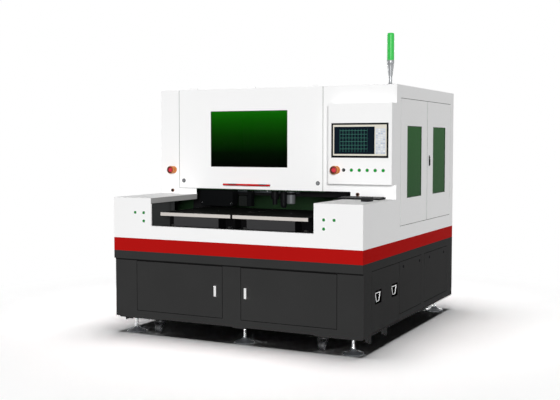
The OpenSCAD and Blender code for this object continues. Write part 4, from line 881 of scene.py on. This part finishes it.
# The panel lies in the bezel's recess, its face slightly crowned like a touch film.
screen_x, screen_z, panel_y = 0.6815, 1.301, -0.4533
panel = facing("front", [(screen_x, panel_y, screen_z)], swept(rounded(369, 199, 1.5), 0.45, taper=0.998))
piece("display_panel", panel, display("lit_display"), "machine")
stud = turned([(0, 0.9), (1.4, 0.8), (2.0, 0.3), (2.1, -0.2), (0, -0.2)], 12)
keys = facing("front", [(0.640 + 0.012 * i, -0.455, 1.1945) for i in range(6)], stud)
piece("monitor_keys", keys, black_zinc, "machine")

# Pressed brass start barrels, black selector bezel, and bright bezels round the green caps.
barrel_r, selector_x = 0.0125, 0.571
selector_bezel = (in_round((selector_x, box_front, control_z), 1, barrel_r), "#0D0D0E", 0.35, 0.0)
barrels = [
    (in_round((x, hood_front, z), 1, barrel_r), "#6E3F22", 0.4, 0.3)
    for x, z in ((-0.803, 0.942), (0.636, 0.946))
]
button_bezel = skin(
    "bright_button_bezel", "#8E9290", 0.35, 0.8, 0.0, metallic=0.8, edge_mm=0.4,
    zones=[selector_bezel] + barrels,
)
finish(["button_rings"], button_bezel)
# Polycarbonate caps: green, glossy, faintly lit.
green_cap = skin("green_button_cap", "#04962A", 0.35, 0.8, 0.005, ior=1.2, glow=0.08, edge_mm=0.6)
finish(["panel_button_%d" % i for i in range(1, 6)], green_cap)
finish(["selector_knob", "start_button_left", "start_button_right"], black_abs)
# Marking paint: white, matt, filled into the knob's groove.
white_paint = skin("white_marking_paint", "#E8E8E8", 0.5, 0.6, 0.0, edge_mm=0.2)
index_line = facing("front", [(selector_x, -0.4639, control_z)], swept(rounded(1.4, 11, 0.5, steps=3), 0.25))
piece("selector_index", index_line, white_paint, "selector_knob")

# Emergency stops: a yellow-orange guard with finger ribs and a red mushroom head with a raised rim.
# The guard's hollow is near black and the head's rim dark red, both painted shade; the back of the
# guard is a little darker orange. Each is moulded plastic: satin, and the head a little glossier.
stops = {"left": (-0.795, hood_front, 1.091), "right": (0.521, box_front, control_z)}
guard_r, waist_long = 0.03, 0.030
# Painted shade: the hollow of each guard round the head is near black.
guard_hollow_shade = [(in_round(p, 1, 0.0243), "#1A0E0C", 0.5, 0.0) for p in stops.values()]
waists = [
    (
        in_box((x - guard_r, y - waist_long, z - guard_r), (x + guard_r, y + 0.001, z + guard_r)),
        "#C27226", 0.42, 0.0,
    )
    for x, y, z in stops.values()
]
guard = skin("orange_guard_plastic", "#D07C28", 0.42, 0.8, 0.01, zones=guard_hollow_shade + waists)
finish(["estop_collars"], guard)
finish(["estop_head_left", "estop_head_right"], skin("red_mushroom_plastic", "#CC2434", 0.3, 0.8, 0.005))
# The head's rim is dark red: painted shade round the head's edge.
head_rim_shade = skin("red_rim_painted_shade", "#6E0E10", 0.4, 0.8, 0.0)
rib_points, rib_tris = swept(rounded(2.4, 1.6, 0.6, steps=3), 8.5)
ring_lip = rim(27, 27, 13.4, [(-0.9, -0.8), (0.9, -0.8), (0.6, 0.25), (-0.6, 0.25)])
rib_circle, rib_y, lip_y = 0.0269, -0.0395, -0.0491
for side, (x, y, z) in stops.items():
    ribs = []
    for turn in np.arange(20) * math.pi / 10:
        c, s = math.cos(turn), math.sin(turn)
        spun = closed(rib_points @ np.array([[-s, c, 0], [c, s, 0], [0, 0, 1]]), rib_tris)
        ribs += facing("front", [(x + rib_circle * c, y + rib_y, z + rib_circle * s)], spun)
    piece("guard_ribs_" + side, ribs, guard, "machine")
    lip = facing("front", [(x, y + lip_y, z)], ring_lip)
    piece("head_rim_" + side, lip, head_rim_shade, "estop_head_" + side)


# ---- Keyboard and mouse ----
# A small keyboard with moulded caps, and a mouse with a ribbed wheel. Both lie loose on the right
# cheek's deck.


def key_cap(width, depth, height):
    """A key cap in millimetres: rings of a superellipse |x/a|^5 + |y/b|^5 = 1 that narrow as they
    rise, closed on top by a shallow dish and below by its middle."""
    a = np.arange(20)[None, :] * math.pi / 10
    c, s = np.cos(a), np.sin(a)
    x = np.sign(c) * np.abs(c) ** 0.4 * width / 2
    y = np.sign(s) * np.abs(s) ** 0.4 * depth / 2
    scale = np.array([0.0, 1.0, 1.0, 0.86, 0.78, 0.4, 0.0])[:, None]
    rise = np.array([0.0, 0.0, 0.3, 0.92, 1.0, 0.9, 0.86])[:, None] * height
    return closed(*grid(np.stack([x * scale, y * scale, rise + 0 * x], -1) / 1000, wrap_v=True))


# Six rows of caps, with each cap's width in units. The board lies with its back edge at board_y,
# and its face falls by the share slope from board_top towards the front.
rows = [
    [1] * 15,
    [1] * 13 + [2],
    [1.5] + [1] * 12 + [1.5],
    [1.75] + [1] * 11 + [2.25],
    [2.25] + [1] * 10 + [1.75, 1],
    [1.25, 1.25, 1.25, 5.25, 1.25, 1.25, 1.25, 1.25, 1],
]
deck_z, board_x, board_y, board_top, slope = 0.920, 0.5495, -0.365, 0.013, 0.0459
unit, row_pitch = 0.0184, 0.0174
caps = []
for row, spans in enumerate(rows):
    x, y = board_x, board_y - 0.017 - row * row_pitch
    for span in spans:
        cap = key_cap(unit * 1000 * span - 2.2, 15.2, 3.0)
        points, tris = facing("up", [(x + unit / 2 * span, y, 0.0)], cap)[0]
        face = deck_z + board_top - slope * (board_y - points[:, 1] - 0.008) - 0.0002
        caps.append((np.column_stack([points[:, :2], points[:, 2] + face]), tris))
        x += unit * span
# ABS caps: a shade darker than the frame, satin from use.
key_abs = skin("key_cap_abs", "#101113", 0.4, 0.6, 0.01, ior=1.4, edge_mm=0.4)
piece("key_caps", caps, key_abs, "machine")
tyre = [(0, -3.2), (7.6, -3.2), (8.8, -2.2), (9.0, 0), (8.8, 2.2), (7.6, 3.2), (0, 3.2)]
mouse_wheel = facing("right", [(0.800, -0.594, 0.9372)], turned(tyre, 72, rib=0.02, ribs=18))
piece("mouse_wheel", mouse_wheel, rubber, "machine")


# ---- Tower light ----
# A chromed foot and cone below a green lens with fine upright flutes.

# Chrome on a turned cone: grey and soft, streaked along its height by the surroundings.
cone_chrome = skin(
    "chromed_cone", "#8E9092", 0.36, 6.0, 0.0, metallic=0.5, ior=1.3, edge_mm=0.0, spread=0.05,
    stretch=(1, 1, 0.05),
)
tower_x, tower_y, roof_z, lens_z = 0.830, -0.290, 1.660, 1.819
foot = [(0, 0), (26, 0), (26, 4), (25, 5.2), (16, 7.6), (12, 9.4), (11, 12), (11, 34), (11, 56.4)]
flare = [(13, 57), (15.4, 77), (17.8, 97), (20.2, 117), (22.6, 136.6)]
collar = [(23.4, 138.4), (23.5, 148), (23.5, 158), (22.9, 159), (0, 159)]
cone_shell = facing("up", [(tower_x, tower_y, roof_z)], turned(foot + flare + collar, 96))
cone = piece("tower_cone", cone_shell, cone_chrome, "machine")
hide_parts("tower_pole")
# Fluted lens: r is 22.8 mm times 1 + 0.003 cos 40 a. Acrylic: clear green, evenly lit inside.
lens_green = skin(
    "green_lens_acrylic", "#36B24C", 0.35, 6.0, 0.0, ior=1.3, spread=0.05, glow=0.12, edge_mm=0.3
)
side_wall = [(22.6, 0), (22.8, 1), (22.8, 40), (22.8, 80), (22.8, 120), (22.8, 160), (22.6, 166.5)]
dome = [(19.4, 173.6), (15.4, 174.8), (0, 174.9)]
lens_shell = turned([(0, 0)] + side_wall + dome, 200, rib=0.003, ribs=40)
lens_at = facing("up", [(tower_x, tower_y, lens_z)], lens_shell)
lens = piece("fluted_lens", lens_at, lens_green, "machine")
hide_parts("tower_lens")
